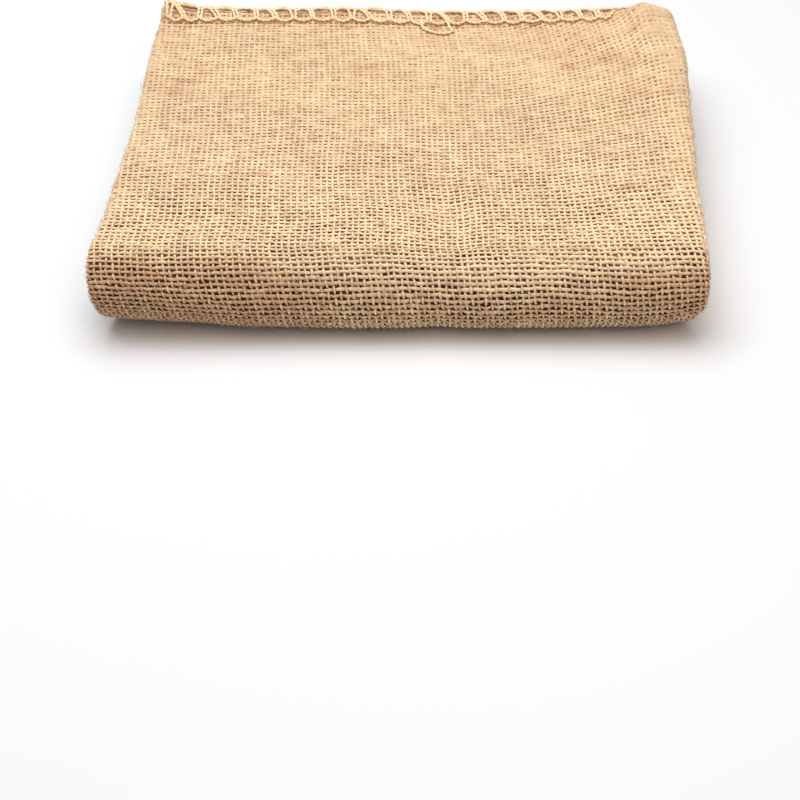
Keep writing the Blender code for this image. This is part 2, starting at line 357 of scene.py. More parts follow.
# %% Each point's place
# In y, where three columns of ACROSS begin and reach their full measure
REACH_FADE = 38.7, 108.7
PUSH_FADE = SPINE_Y + 10, SPINE_Y - 16
LOWER_FADE = SPINE_Y + 12, SPINE_Y - 22
SWELL_FADE = 0.6 * HEIGHT, HEIGHT                # in z, of the swell of the top


def place(share, outward, y, level, at):
    """From the neat stack of flat plies to the eased shape of the real folded sack."""
    left, right = side_axes(at)
    x = left + (right - left) * (share + 1) / 2 + outward
    # The tables across go by the sides of the top over the point, not by those of its own run
    above = np.where(
        y > SEAM_Y - TAIL, np.maximum((SEAM_Y - y) / TAIL, 0),
        np.minimum(1 + (SEAM_Y - TAIL - y) / (SEAM_Y - TAIL - SPINE_Y), 2))
    left, right = side_axes(above)
    y, z = lift_tail(share, y, level)
    share = 2 * (x - left) / (right - left) - 1
    # The stack is stretched to the height of the top, which has three tables from front to back
    back = fade(y, SPINE_Y, SEAM_Y)
    middle = 1 - np.abs(2 * back - 1)
    ends = across["front"](share) * (1 - back) + across["back"](share) * back
    top = HEIGHT + (ends * (1 - middle) + across["middle"](share) * middle)
    top = top + swell(x, y) * fade(z, *SWELL_FADE)
    low = CLOTH / 2 + across["lower"](share) * fade(y, *LOWER_FADE)
    z = low + (z - CLOTH / 2) * (top - low) / (HEIGHT - CLOTH / 2)
    # The front bulges low down, and its line and that of the back are drawn in or out
    slump = 1 + across["slump"](share) * (1 - 2 * z / HEIGHT)
    y = np.where(y < SPINE_Y, SPINE_Y + (y - SPINE_Y) * slump, y)
    y = y + across["reach"](share) * fade(y, *REACH_FADE)
    y = y + across["push"](share) * fade(y, *PUSH_FADE)
    return x, y, z


seam_middle = place(np.zeros(1), 0.0, np.full(1, SEAM_Y), np.full(1, 15.0), 0.0)
print("the seam's middle lies at", np.round(seam_middle, 1).ravel().tolist())

# %% [markdown]
# Following the cloth
#
# Seen from the front, the tube is folded in half, so the band's section has four plies with
# a wide turn on the right and tight hairpins on the left. One function walks along the band and
# one round its section, and fold joins them. This is quicker and surer than bending a mesh with
# modifiers, because every yarn can ask for its place on the cloth.

# %% Section of the band
SPAN = WIDTH - 2 * PITCH - CLOTH                 # between the side turns' axes
OUTER, INNER = math.pi * 1.5 * PITCH, math.pi * 0.5 * PITCH
# Each ply or turn: its length, first and last share or side, offset or middle, the same with the
# plies drawn together, radius, first angle, and which way the outside of the tube faces
PARTS = columns_of(
    "turn length first last off drawn radius angle face",
    (0, SPAN, -1, 1, 1.5, 1.0, 0.0, 0, 1),
    (1, OUTER, 1, 1, 0.0, 0.0, 1.5, 90, 1),
    (0, SPAN, 1, -1, -1.5, -1.0, 0.0, 0, -1),
    (1, INNER, -1, -1, -1.0, -1.0, 0.5, -90, 1),
    (0, SPAN, -1, 1, -0.5, -1.0, 0.0, 0, 1),
    (1, INNER, 1, 1, 0.0, 0.0, 0.5, -90, -1),
    (0, SPAN, 1, -1, 0.5, 1.0, 0.0, 0, -1),
    (1, INNER, -1, -1, 1.0, 1.0, 0.5, -90, 1),
)
PART_STARTS = np.append(0.0, np.cumsum(PARTS["length"]))[:-1]
ROUND = float(PARTS["length"].sum())
print("the tube is", round(ROUND), "mm round")


# %% Along the band
def part_at(value, starts, lengths, table):
    """The number of the part that a value lies in, the share of it, and its table row."""
    number = np.clip(np.searchsorted(starts, value, side="right") - 1, 0, len(starts) - 1)
    row = {name: values[number] for name, values in table.items()}
    return number, (value - starts[number]) / lengths[number], row


def along(v):
    """The band at v: y, level, the way to its top ply (y and z), how far apart the plies are,
    and the number of the run with the share of it, as in SIDES."""
    number, share, run = part_at(v, STARTS, LENGTHS, RUNS)
    angle = np.pi * np.where(run["side"] > 0, share, 1 - share)
    turns = run["turn"] != 0
    way_y = np.where(turns, -run["turn"] * np.sin(angle), 0.0)
    way_z = np.where(turns, run["turn"] * np.cos(angle), 1.0)
    y = run["start"] + np.where(
        turns, run["radius"] * PITCH * way_y, (run["end"] - run["start"]) * share)
    level = run["level"] + run["radius"] * np.where(turns, way_z, 0.0)
    apart = np.where(number == 0, np.interp(share, *TAIL_APART), 1.0)
    return (y, level, run["side"] * way_y, run["side"] * way_z, apart,
            number + np.clip(share, 0.0, 1.0))


print("half way along the cloth, the band is at y =", round(along(np.array([LONG / 2]))[0][0], 1))


# %% Round its section, and both together
def around(u, lift, apart):
    """The section at u: share of the width, and how far out and off the band's middle."""
    _, share, part = part_at(np.mod(u, ROUND), PART_STARTS, PARTS["length"], PARTS)
    flat = part["turn"] == 0
    off = part["drawn"] + (part["off"] - part["drawn"]) * apart
    right = ~flat & (part["first"] > 0)
    radius = np.where(right, 1 + (part["radius"] - 1) * apart, part["radius"])
    radius = radius + part["face"] * lift
    way = np.where(part["angle"] > 0, -1, 1)
    angle = np.radians(part["angle"]) + way * np.pi * share
    pinch = np.where(right, 1.0, apart)
    out = np.where(flat, 0.0, part["first"] * radius * np.cos(angle))
    turn_off = off + np.sin(angle) * (radius * pinch + part["face"] * lift * (1 - pinch))
    share = np.where(flat, part["first"] + (part["last"] - part["first"]) * share, part["first"])
    return share, out, np.where(flat, off + part["face"] * lift, turn_off)


def fold(u, v, lift):
    """Carries points of the flat cloth, in mm, to their places in the folded sack."""
    y, level, way_y, way_z, apart, at = along(v)
    share, out, off = around(u, lift / PITCH, apart)
    x, y, z = place(share, out * PITCH, y + off * way_y * PITCH, level + off * way_z, at)
    return np.stack([x, y, np.maximum(z, TABLE_GAP)], axis=-1)


print("the cloth's first corner folds to",
      fold(np.zeros(1), np.zeros(1), np.zeros(1)).round(1).tolist())

# %% [markdown]
# The fibres of jute
#
# Jute is a bark fibre: straw-coloured to golden, with brown specks and now and then a rusty
# one. Spun into yarn, its fibres run along the yarn in a long twist. A node group gives this
# colour and this fine relief from coordinates along and round the yarn. Every finish on the
# sack uses it with its own tone, so cloth, twine and loose fibres clearly are one material.


# %% Groups of nodes
def new_group(name, inputs, outputs):
    """An empty node group with named sockets, and its input and output nodes."""
    group = bpy.data.node_groups.new(name, "ShaderNodeTree")
    for sort, sockets in (("INPUT", inputs), ("OUTPUT", outputs)):
        for label, kind, *value in sockets:
            socket = group.interface.new_socket(
                label, in_out=sort, socket_type="NodeSocket" + kind)
            if value:
                socket.default_value = value[0]
    return group, group.nodes.new("NodeGroupInput").outputs, group.nodes.new("NodeGroupOutput")


# The red of rusty stretches of fibre; on the front fold the same red also paints warm light
RUSTY = (0.50, 0.235, 0.120, 1.0)
print("the reddest a fibre gets:", RUSTY[:3])

# %% Fibre group
TWIST = 1.4                      # turns of the fibres round the yarn in a centimetre
fibre_group, given, leave = new_group(
    "jute fibres",
    [("Yarn", "Vector"), ("Tone", "Float", 0.5), ("Rust", "Float", 0.0),
     ("Pale", "Color", (0.80, 0.58, 0.33, 1.0)), ("Deep", "Color", (0.45, 0.27, 0.12, 1.0))],
    [("Colour", "Color"), ("Roughness", "Float"), ("Height", "Float")],
)
# The yarn's own coordinates are centimetres along it and turns round it. Shearing them makes
# the fibres climb round the yarn as they run along it.
x, y, z = add_node(fibre_group, "SeparateXYZ", {"Vector": given["Yarn"]}).outputs
sheared = add_node(fibre_group, "CombineXYZ",
                   {"X": x, "Y": maths(fibre_group, "MULTIPLY_ADD", x, TWIST, y), "Z": z})
stretched = add_node(fibre_group, "Mapping",
                     {"Vector": sheared.outputs[0], "Scale": (2.5, 9.0, 1.0)})
strands = add_node(fibre_group, "TexNoise", {
    "Vector": stretched.outputs[0], "Scale": 2.0, "Detail": 4.0, "Roughness": 0.75}).outputs["Fac"]
blotch = add_node(fibre_group, "TexNoise", {
    "Vector": given["Yarn"], "Scale": 0.8, "Detail": 2.0}).outputs["Fac"]
mixed = maths(fibre_group, "MULTIPLY_ADD", strands, 0.95, given["Tone"])
mixed = maths(fibre_group, "MULTIPLY_ADD", blotch, 0.3, mixed)
toned = add_node(fibre_group, "MapRange", {"Value": mixed, "From Min": 0.65, "From Max": 1.55})
rough = add_node(fibre_group, "MapRange", {"Value": strands, "To Min": 0.72, "To Max": 0.98})
body = blend(fibre_group, toned.outputs[0], given["Deep"], given["Pale"])
feed(fibre_group, leave, {"Colour": blend(fibre_group, given["Rust"], body, RUSTY),
                          "Roughness": rough.outputs[0], "Height": strands})
print("group", fibre_group.name, "with", len(fibre_group.nodes), "nodes")

# %% [markdown]
# The finish of yarn and twine
#
# Yarn and twine are the same fibre, but the twine is better sorted, so it is paler and
# smoother. Two materials made by hand would drift apart with every change. One function builds
# both round the fibre group, and only two colours and the strength of the relief differ.


# %% Yarn finish
def marked(tree, name):
    """The values that each point of a piece carries under a name."""
    return add_node(tree, "Attribute", attribute_name=name).outputs["Fac"]


def fibre_material(name, pale, deep, bump):
    """A finish of spun jute on the yarn's own coordinates and tones."""
    made, shader = new_material(name, {
        "Specular IOR Level": 0.25, "Sheen Weight": 0.15, "Sheen Roughness": 0.6})
    tree = made.node_tree
    fibres = add_node(tree, "Group", node_tree=fibre_group)
    feed(tree, fibres, {
        "Yarn": add_node(tree, "UVMap", uv_map="yarn").outputs["UV"],
        "Tone": marked(tree, "tone"), "Rust": marked(tree, "rust"),
        "Pale": (*pale, 1.0), "Deep": (*deep, 1.0)})
    relief = add_node(tree, "Bump", {
        "Strength": bump, "Distance": 0.25 * MM, "Height": fibres.outputs["Height"]})
    feed(tree, shader, {
        "Base Color": fibres.outputs["Colour"], "Roughness": fibres.outputs["Roughness"],
        "Normal": relief.outputs["Normal"]})
    return made


jute_yarn = fibre_material("jute yarn", (0.87, 0.685, 0.43), (0.55, 0.365, 0.205), 0.7)
jute_twine = fibre_material("jute twine", (0.92, 0.71, 0.455), (0.66, 0.45, 0.25), 0.4)
print("finishes:", jute_yarn.name, "and", jute_twine.name)

# %% [markdown]
# The lattice of the weave
#
# Hessian is a plain weave, one yarn over and one under. The weft, which runs across the sack,
# is thick and nearly straight, and the warp is thinner, further apart and bends round it, so
# small dark gaps stay open between them. Both are laid out on a lattice of crossings: a counts
# warp yarns round the tube, b counts weft yarns along it. The lattice isn't quite square to the
# folds. The warp slides to the right towards the front, and on the right the weft is drawn up
# towards the back, where it lies looser.

# %% Lattice of crossings
WARP_PITCH, WEFT_PITCH = 3.11, 2.86              # from one yarn to the next
CREASE_V = float(STARTS[2]) + 9.0                # where the top turns down over the front
CREASE_B = CREASE_V / WEFT_PITCH
SLIDE = (  # at along the band, mm that the warp slides to the right there
    (0.0, -1.5), (1.0, 0.0), (1.4, 5.0), (1.7, 9.5), (2.0, 16.0), (2.5, 20.5), (3.0, 24.0),
    (8.0, 24.0),
)
slide_at = rounded(SLIDE, 1, 0.12)
LOOSER = 0.22                    # the most that the weft lies further apart, as a share


def slide(v):
    """How far the warp has slid to the right at a place along the cloth, in mm."""
    return slide_at(along(v)[5])


def loosened(u):
    """How much further apart the weft lies on the right of the top, as a share."""
    return LOOSER * fade(u, 0.64 * SPAN, 1.03 * SPAN) * fade(u, 1.6 * SPAN, 1.2 * SPAN)


def lattice(a, b):
    """u and v of a point between the crossings a and b."""
    square = a * WARP_PITCH
    wider = np.where(b < CREASE_B, 1 + loosened(square), 1.0)
    v = CREASE_V + (b - CREASE_B) * WEFT_PITCH * wider
    # The rows wave gently together, more at the right
    v = v + 0.5 * np.sin(a / 7.0 + b / 19.0) * np.sin(a / 17.0 + 1.3)
    v = v + 0.3 * np.sin(a / 3.7 - b / 11.0 + 0.8)
    return square + slide(v) + 0.35 * np.sin(b / 8.0 + a / 9.0), v


print("crossings:", round(ROUND / WARP_PITCH), "round by", round(LONG / WEFT_PITCH), "along")

# %% [markdown]
# Where the cloth changes
#
# No part of a real sack looks like the next. The stitches press the cloth's end together, a
# few spots are stained, and towards the front fold the weave opens up; there its colour is
# painted darker and browner, as painted shade and painted warm light. These maps of the cloth
# say where. They are plain functions of a place on it, so the yarns, the sheet behind them and
# the seam can all ask for the same place and agree.

# %% Places of the stitches
TWINE = 1.8                      # thickness of the twine, counted where it lies on the cloth
STITCH = 11.1                    # from one stitch to the next
STITCHES = 26
FIRST_STITCH = -142.2            # x of the seam's left end
FOOT_IN, SCALLOP_DEEP = 6.8, 2.7                 # of the foot of the stitches, in from the end
BARE_FROM, BARE_TO = 23.3, 24.2  # stitches between which the twine leaves the corner bare
# For each stitch in turn: how far its two strands over the edge lean to the left, and how far
# apart they are, both in stitches
LEANS = (0.05, 0.50, 0.06, 0.42, 0.24, 0.14, 0.36, 0.14, 0.22, 0.12, 0.10, 0.48, 0.12, 0.22)
PAIRS = (0.30, 0.17, 0.18, 0.27, 0.18, 0.17, 0.22, 0.32, 0.16, 0.20, 0.40, 0.18, 0.26, 0.17)
FEET = np.arange(STITCHES + 1) + np.random.default_rng(5).uniform(-0.06, 0.06, STITCHES + 1)
FEET[:2] += 0.38, 0.16           # the first stitches are set in from the corner


def stitch_at(u):
    """Where a place on the top ply's end is, counted in stitches."""
    left, right = side_axes(0.0)
    return (left + (right - left) * u / SPAN - FIRST_STITCH) / STITCH


def shorter(stitch):
    """The stitches reach less far in towards the bent corner, and slip behind its edge."""
    return 1 - 1.12 * fade(stitch, BARE_FROM, BARE_TO)


def base_line(stitch):
    """How far in from the cloth's end the scalloped foot of the stitches lies, in mm."""
    gone = np.clip(np.searchsorted(FEET, stitch) - 1, 0, STITCHES - 1)
    share = (stitch - FEET[gone]) / (FEET[gone + 1] - FEET[gone])
    scallop_here = SCALLOP_DEEP * np.sin(np.pi * np.clip(share, 0, 1)) ** 0.9
    return (FOOT_IN + scallop_here) * shorter(stitch)


print(STITCHES, "stitches of", STITCH, "mm")

# %% Stains, presses and patches
SPOTS = (  # middle x and y of the top, half length and half width (mm), turn, strength
    (-122.0, 50.0, 8.0, 2.2, -0.1, 0.60), (-128.0, 40.0, 7.0, 3.0, 0.0, 0.15),
    (-110.0, 58.0, 5.0, 5.0, 0.0, 0.15), (-34.6, 105.0, 3.5, 2.0, 0.0, 0.65),
    (-20.0, 64.0, 9.0, 3.0, 0.1, 0.30), (90.0, 65.0, 5.0, 3.5, 0.0, 0.45),
    (98.0, 91.0, 8.0, 7.0, 0.3, 0.22), (113.7, 72.0, 9.0, 6.0, 0.2, 0.25),
    (131.0, 95.0, 4.0, 1.8, 0.3, 0.50), (128.0, 34.0, 8.0, 4.5, 0.4, 0.32),
    (147.0, 36.0, 7.0, 3.0, 0.2, 0.25), (120.0, -51.0, 7.0, 2.6, 0.3, 0.55),
    (16.8, 107.0, 3.0, 4.0, 0.0, 0.70), (-70.0, -40.0, 6.0, 2.0, 0.0, 0.35),
    (-30.0, -70.0, 3.0, 1.6, 0.2, 0.50), (60.0, -20.0, 5.0, 1.8, 0.1, 0.35),
)
PATCH_LENGTHS = (74, 43, 31, 23, 15, 11)         # mm


def spots(u, v):
    """How strongly the top ply is stained at a place."""
    left, right = side_axes(1.0)
    return ovals(left + (right - left) * u / SPAN, SEAM_Y - v, SPOTS)


def pressed(u, v):
    """Where the cloth of the top is pressed together: at its bent corner, along its sides, and
    towards the seam, most on the right."""
    corner = fade(u, 0.80 * SPAN, 0.90 * SPAN) * fade(v, 36, 16)
    corner = corner * fade(v, 3, 11)
    sides = fade(u, SPAN - 16, SPAN - 2) + fade(u, 8, 0.0)
    at_seam = fade(v, 105, 40) * (0.15 + 0.5 * fade(u, 0.2 * SPAN, 0.75 * SPAN))
    on_top = fade(v, CREASE_V, CREASE_V - 40) * fade(u, SPAN + 16, SPAN + 4)
    return np.clip(1.2 * corner + 0.5 * sides + at_seam, 0, 1.2) * on_top


def patches(u, v, number):
    """Slow, uneven change over the cloth, mostly from -1 to 1; each number gives another."""
    rng = np.random.default_rng(100 + number)
    u = u + 5 * np.sin(v / 13)
    total = 0.0
    for length in PATCH_LENGTHS:
        turn, phase = rng.uniform(0, 2 * np.pi, 2)
        way = u * math.cos(turn) + v * math.sin(turn)
        total = total + np.sin(2 * np.pi * way / length + phase)
    return total / 2.6


print(len(SPOTS), "spots")

# %% [markdown]
# The front fold
#
# Where the cloth bends over the front it has been stretched, rubbed and handled, so its weave
# is open. Its colour there is painted darker and redder, as painted shade and painted warm light
# bounced up onto it, and paler in its middle than at its ends, as painted light. The line where
# this starts is not straight but comes later in the middle. Painting it by hand on a map would
# be quick, but a short table and soft steps give the yarns, the sheet and the fibres the very
# same line.

# %% The front fold
# Its last column is painted light and shade: the front's tone is painted paler in its middle and
# darker towards its ends
FRONT = (  # share of the width, mm past the crease where the front starts, how much paler it is
    (0.00, 0.0, -1.7), (0.24, 1.5, -1.9), (0.31, 6.5, -1.5), (0.38, 10.0, -0.7),
    (0.44, 12.5, 0.0), (0.58, 14.0, 0.3), (0.65, 15.5, 0.4), (0.76, 16.0, 0.2), (0.82, 10.5, -0.1),
    (0.90, 7.5, -0.8), (1.00, 2.5, -1.3),
)


def along_front(u, column):
    """A column of the table of the front, at a place round the tube."""
    return np.interp(u / SPAN, [row[0] for row in FRONT], [row[column] for row in FRONT])


def past_crease(u, v):
    """How far past the start of the front a place lies; negative on the top."""
    return v - CREASE_V - along_front(u, 1)


def frontward(u, v):
    """0 on the flat top, 1 on the front fold and on from there."""
    return fade(past_crease(u, v), -12, 9)


def on_front(u, v):
    """1 on the front fold only, painted darker and redder there as shade and warm light; 0 under
    it and on the top.
    """
    return frontward(u, v) * fade(v, STARTS[3] + 5, STARTS[3] - 20)


def opened(v):
    """How far the weave opens up from the seam towards the front fold, 0 to 1."""
    return fade(v, CREASE_V - 140, CREASE_V - 12)


print("the front starts", round(CREASE_V), "to",
      round(CREASE_V + max(row[1] for row in FRONT)), "mm from the seam")

# %% [markdown]
# Tones of the yarns
#
# Spun jute is never one colour: each yarn has its own tone, which drifts along it, and short
# stretches are rusty with bark. A noise texture would run across the yarns. Waves of a few
# lengths with seeded starts follow each yarn instead, and are stored on its points.

# %% Tone and rust
USUAL_TONE, TWINE_TONE = 0.41, 0.70              # 0 is the deep colour of a finish, 1 the pale
YARN_TONES, POINT_TONES = 0.13, 0.10             # how much whole yarns differ, and their points
TONE_DRIFT = (0.09, 60), (0.09, 23), (0.08, 8)   # waves: their size, and length in mm
OWN = 0.36, 0.25, 0.94           # strength of the own tone: everywhere, where opened, in front
RUST_DRIFT = (0.5, 90), (0.45, 37), (0.4, 17)
RARE = 1.13                      # the part of that drift above this is a rusty stretch
FRONT_RUST_DRIFT = (0.08, 13), (0.10, 5)


def wander(rng, where, sizes):
    """Slow, uneven drift along each yarn (row): a sum of waves of given size and length."""
    where = np.atleast_2d(where)
    total = 0.0
    for size, length in sizes:
        phase = rng.uniform(0, 2 * np.pi, (len(where), 1))
        stretch = rng.uniform(0.75, 1.35, (len(where), 1))
        total = total + size * np.sin(2 * np.pi * where * stretch / length + phase)
    return total


def tones(rng, where, u, v, light):
    """Each yarn's own tone with slow changes along it, and rare rusty stretches. The raw cloth
    between the stitches is darker and browner, partly as painted shade, and a line at their
    foot is darker as a painted shadow. On the front fold, painted shade and warm light make it
    darker and redder."""
    own = rng.normal(0, YARN_TONES, (len(where), 1)) + rng.normal(0, POINT_TONES, where.shape)
    own = own + wander(rng, where, TONE_DRIFT)
    everywhere, where_opened, in_front = OWN
    fronted, front, open_here = frontward(u, v), on_front(u, v), opened(v)
    # Just where the cloth turns down it is painted browner, and darker towards the front's ends:
    # painted shade
    brow_shade = np.exp(-((v - CREASE_V - (8 + 0.6 * along_front(u, 1))) / 8) ** 2)
    tone = USUAL_TONE + light + 0.09 * patches(u, v, 0) + own * (
        everywhere + where_opened * open_here + in_front * fronted)
    # On the front fold the tone is painted darker, as painted shade, and by the front table paler
    # in its middle and darker at its ends
    tone = tone + 0.22 * open_here - 0.10 * (fronted - front) + front * (
        (0.15 + 0.10 * brow_shade) * along_front(u, 2) - 0.25)
    rust = 2.0 * np.clip(wander(rng, where, RUST_DRIFT) - RARE, 0, 0.3)
    rust = rust + 0.10 * np.clip(patches(u, v, 1) - 0.2, 0, 1)
    rust = rust + 0.05 * fade(v, 120, 20)
    # On the front fold the rust also paints the warm light bounced up onto it
    rust = rust + front ** 1.5 * (
        0.25 - 0.05 * along_front(u, 2) + 0.05 * patches(u, v, 4)
        + brow_shade * (0.11 + 0.09 * patches(u, v, 5)))
    rust = rust + fronted * wander(rng, where, FRONT_RUST_DRIFT)
    foot = base_line(stitch_at(u))
    # Between the stitches the raw cloth is browner, and darker partly as painted shade in its
    # hollows
    raw = fade(v, 0.2, 1.5) * fade(v, foot - 1.0, foot - 3.5)
    # A line just past the stitches' foot is darker: a painted shadow of the twine
    under = np.exp(-((v - foot - 1.4) / 0.8) ** 2)
    stained = spots(u, v)
    tone = tone - raw * (0.06 + 0.35 * patches(u, v, 2)) - 0.35 * under - 0.15 * stained
    return tone, np.clip(rust + 0.16 * raw + 0.08 * under + stained, 0, 0.9)


print("tone of a yarn at the middle of the top:", tones(
    np.random.default_rng(0), np.zeros((1, 1)), SPAN / 2, CREASE_V / 2, 0.0)[0].round(2).tolist())

# %% [markdown]
# Yarns as tubes
#
# A yarn is a long thin tube. Thousands of separate objects would be slow, so all the yarns of
# a piece are one mesh. One grid makes them: it is cut into strips, each strip is rolled into a
# ring round its yarn's path, and the seams are closed. A second UV map lays the yarns
# side by side for baking.


# %% Pieces from grids
def shaped(mesh, places, marks, maps, material, weld):
    """Moves a grid's points to their places, gives them marks and UV maps, closes its seams
    and puts it in the scene."""
    mesh.vertices.foreach_set("co", (places * MM).ravel())
    for label, values in marks.items():
        made = mesh.attributes.new(label, "FLOAT", "POINT")
        made.data.foreach_set("value", np.ascontiguousarray(values, np.float32))
    corner = np.empty(len(mesh.loops), np.int32)
    mesh.loops.foreach_get("vertex_index", corner)
    for label, pair in maps.items():
        made = mesh.uv_layers.new(name=label)
        made.data.foreach_set("uv", np.stack(pair, 1)[corner].ravel())
    bm = bmesh.new()
    bm.from_mesh(mesh)
    bmesh.ops.remove_doubles(bm, verts=bm.verts, dist=weld)
    bmesh.ops.recalc_face_normals(bm, faces=bm.faces)
    bm.to_mesh(mesh)
    bm.free()
    mesh.shade_smooth()
    mesh.materials.append(material)
    return add_object(mesh.name, mesh)


WELD = 0.002 * MM                # points of a tube that are closer than this are one
print("tubes are closed within", WELD / MM, "mm")

# %% Tubes
NEXT_YARN = 0.37                 # cm that each yarn's fibres are shifted, so that no two match


def tube_piece(name, shape, sides, placed, tone, rust, far, material=jute_yarn,
               slot="jute_cloth", stacks=1):
    """Closed tubes as one piece, from a shape of so many yarns by so many points, which placed
    carries to their places. Each point has its tone and rust and says how far along its yarn
    it lies. In the map for baking, short yarns lie side by side, in a few stacks."""
    (count, points), rings = shape, sides + 1
    mesh, step, row = grid_mesh(name, points, count * rings, strip=rings)
    yarn, ring = row // rings, row % rings
    turn = ring / sides
    made = shaped(
        mesh, placed(yarn, step, ring),
        {label: np.broadcast_to(values, shape)[yarn, step]
         for label, values in (("tone", tone), ("rust", rust))},
        {"yarn": (far[yarn, step] / 10 + yarn * NEXT_YARN, turn),
         "OFBake": ((yarn % stacks + 0.01 + 0.98 * step / (points - 1)) / stacks,
                    (yarn // stacks + 0.06 + 0.88 * turn) / math.ceil(count / stacks))},
        material, WELD)
    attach(made, "root")
    made.data.calc_loop_triangles()
    print(name, count, "yarns,", len(made.data.loop_triangles), "triangles")
    return made


print("each yarn's fibres are shifted by", NEXT_YARN, "cm")

# %% [markdown]
# Weaving
#
# Each weft yarn goes over one warp yarn and under the next, and the warp does the same the
# other way, so one sign per crossing is enough. Two points on each crossing keep the yarn level
# there and steep between. Thick slubs, a wander of each path and the open or pressed places of
# the cloth then make it hand-made. Yarns end where the cloth does and taper off.

# %% Two sorts of yarn
# Half width, half height and crimp (mm); sway of the path (crossings) and unevenness, each with
# its lengths (mm); thickness and its change where opened, on the front and in patches, and where
# pressed; share of the crimp and its change where opened and on the front; range of the crimp's
# own changes; how much lighter it is, everywhere and on the front, where the warp's lighter tone
# is a painted highlight and the weft's darker one painted shade; fewest points in a yarn
Sort = namedtuple("Sort", "wide high wave sway uneven thick press flat jitter light fewest")
WEFT = Sort(0.93, 0.58, 0.42, ((0.07, 31), (0.05, 13), (0.04, 7)),
            ((0.08, 70), (0.09, 19), (0.07, 9)), (1.24, -0.20, -0.11, -0.06), 0.30,
            (0.12, 0.25, 0.50), (0.8, 1.2), (0.0, -0.10), 1)
WARP = Sort(0.66, 0.50, 0.68, ((0.06, 47), (0.05, 17), (0.035, 8)),
            ((0.07, 60), (0.07, 23), (0.05, 9)), (1.30, -0.22, -0.10, -0.08), 0.35,
            (0.62, 0.10, 0.28), (0.85, 1.1), (0.04, 0.32), 4)
print("weft", 2 * WEFT.wide, "mm wide, warp", 2 * WARP.wide, "mm")

# %% Points and ends of the yarns
# The section of a yarn as shares of its half width and half height. Below, where nothing of it
# shows, one point is enough.
RING = np.array([(1.0, 0.0), (0.5, 0.87), (-0.5, 0.87), (-1.0, 0.0), (0.0, -1.0), (1.0, 0.0)])


def crossings(count):
    """Two points on each crossing and one more at both ends, where the yarn tapers off."""
    steps = (np.arange(count)[:, None] + np.array([-0.25, 0.25])[None, :]).ravel()
    return np.concatenate([[steps[0] - 0.1], steps, [steps[-1] + 0.1]])


def woven(name, sort, inside, *path):
    """The piece of some yarns, each kept where it is inside and dropped if too little is."""
    kept = inside.sum(axis=1) >= sort.fewest
    inside, count = inside[kept], inside.shape[1]
    # The other points are drawn to the yarn's nearest one inside, where it tapers off
    first = np.argmax(inside, axis=1)[:, None]
    last = count - 1 - np.argmax(inside[:, ::-1], axis=1)[:, None]
    index = np.clip(np.arange(count), first, last)
    full = (index > first) & (index < last)
    full[:, 0] = full[:, -1] = False
    u, v, lift, wide, high, tone, rust, where = (
        np.take_along_axis(values[kept], index, axis=1) for values in path)
    wide, high = wide * full, high * full

    def placed(yarn, step, ring):
        """The flat yarn's points in the folded sack."""
        sideways, up = RING[ring].T
        off = wide[yarn, step] * sideways
        return fold(u[yarn, step] + (off if sort is WARP else 0.0),
                    v[yarn, step] + (0.0 if sort is WARP else off),
                    lift[yarn, step] + high[yarn, step] * up)

    return tube_piece(name, u.shape, len(RING) - 1, placed, tone, rust, where)


print("a yarn has", len(RING) - 1, "sides and", len(crossings(10)), "points for 10 crossings")

# %% Thickness, height and tone of the yarns
SLUBS, SLUB_MORE, SLUB_HALF = 0.25, 0.45, 5.0    # of the weft: how many have one, how thick, long
LAY = -0.20                      # of the woven layer on the folds
LOOSE_THICK = 0.85               # how far loose rows fill their wider places, as a share
PRESSED_FLAT = 0.4               # how much of the crimp a press takes away
# Painted shade on the tone, where the cloth is pressed together and where a yarn goes under
# another
PRESSED_SHADE, UNDER_SHADE = 0.06, 0.05            # of the tone, where pressed and where under


def spin(name, sort, rng, where, u, v, over, inside, slubs=None, wider=1.0):
    """The piece of some yarns of one sort, with their paths on the cloth given."""
    thick = 1 + wander(rng, where, sort.uneven)
    if slubs:
        slub = rng.random((len(where), 1)) < SLUBS
        centre = rng.uniform(0, 1, slub.shape) * slubs[1] + slubs[0]
        thick = thick + slub * SLUB_MORE * np.exp(-((where - centre) / SLUB_HALF) ** 2)
    front, press, open_here = frontward(u, v), pressed(u, v), opened(v)
    usual, by_open, by_front, by_patch = sort.thick
    thick = thick * (usual + by_open * open_here + by_front * front
                     + by_patch * patches(u, v, 3)) * (1 + sort.press * press)
    if sort is WEFT:
        thick = thick * (1 + LOOSE_THICK * loosened(u) * (1 - front))
    usual, by_open, by_front = sort.flat
    flat = (usual + by_open * open_here + by_front * front) * (1 - PRESSED_FLAT * press)
    lift = LAY + sort.wave * over * rng.uniform(*sort.jitter, over.shape) * flat
    # The tone is painted darker where the cloth is pressed and where a yarn goes under: painted
    # shade
    tone, rust = tones(rng, where, u, v, sort.light[0] + sort.light[1] * on_front(u, v)
                       - PRESSED_SHADE * press - UNDER_SHADE * (over < 0))
    return woven(name, sort, inside, u, v, lift, thick * sort.wide * wider,
                 thick * sort.high, tone, rust, where)


print("one weft yarn in", round(1 / SLUBS), "has a slub")


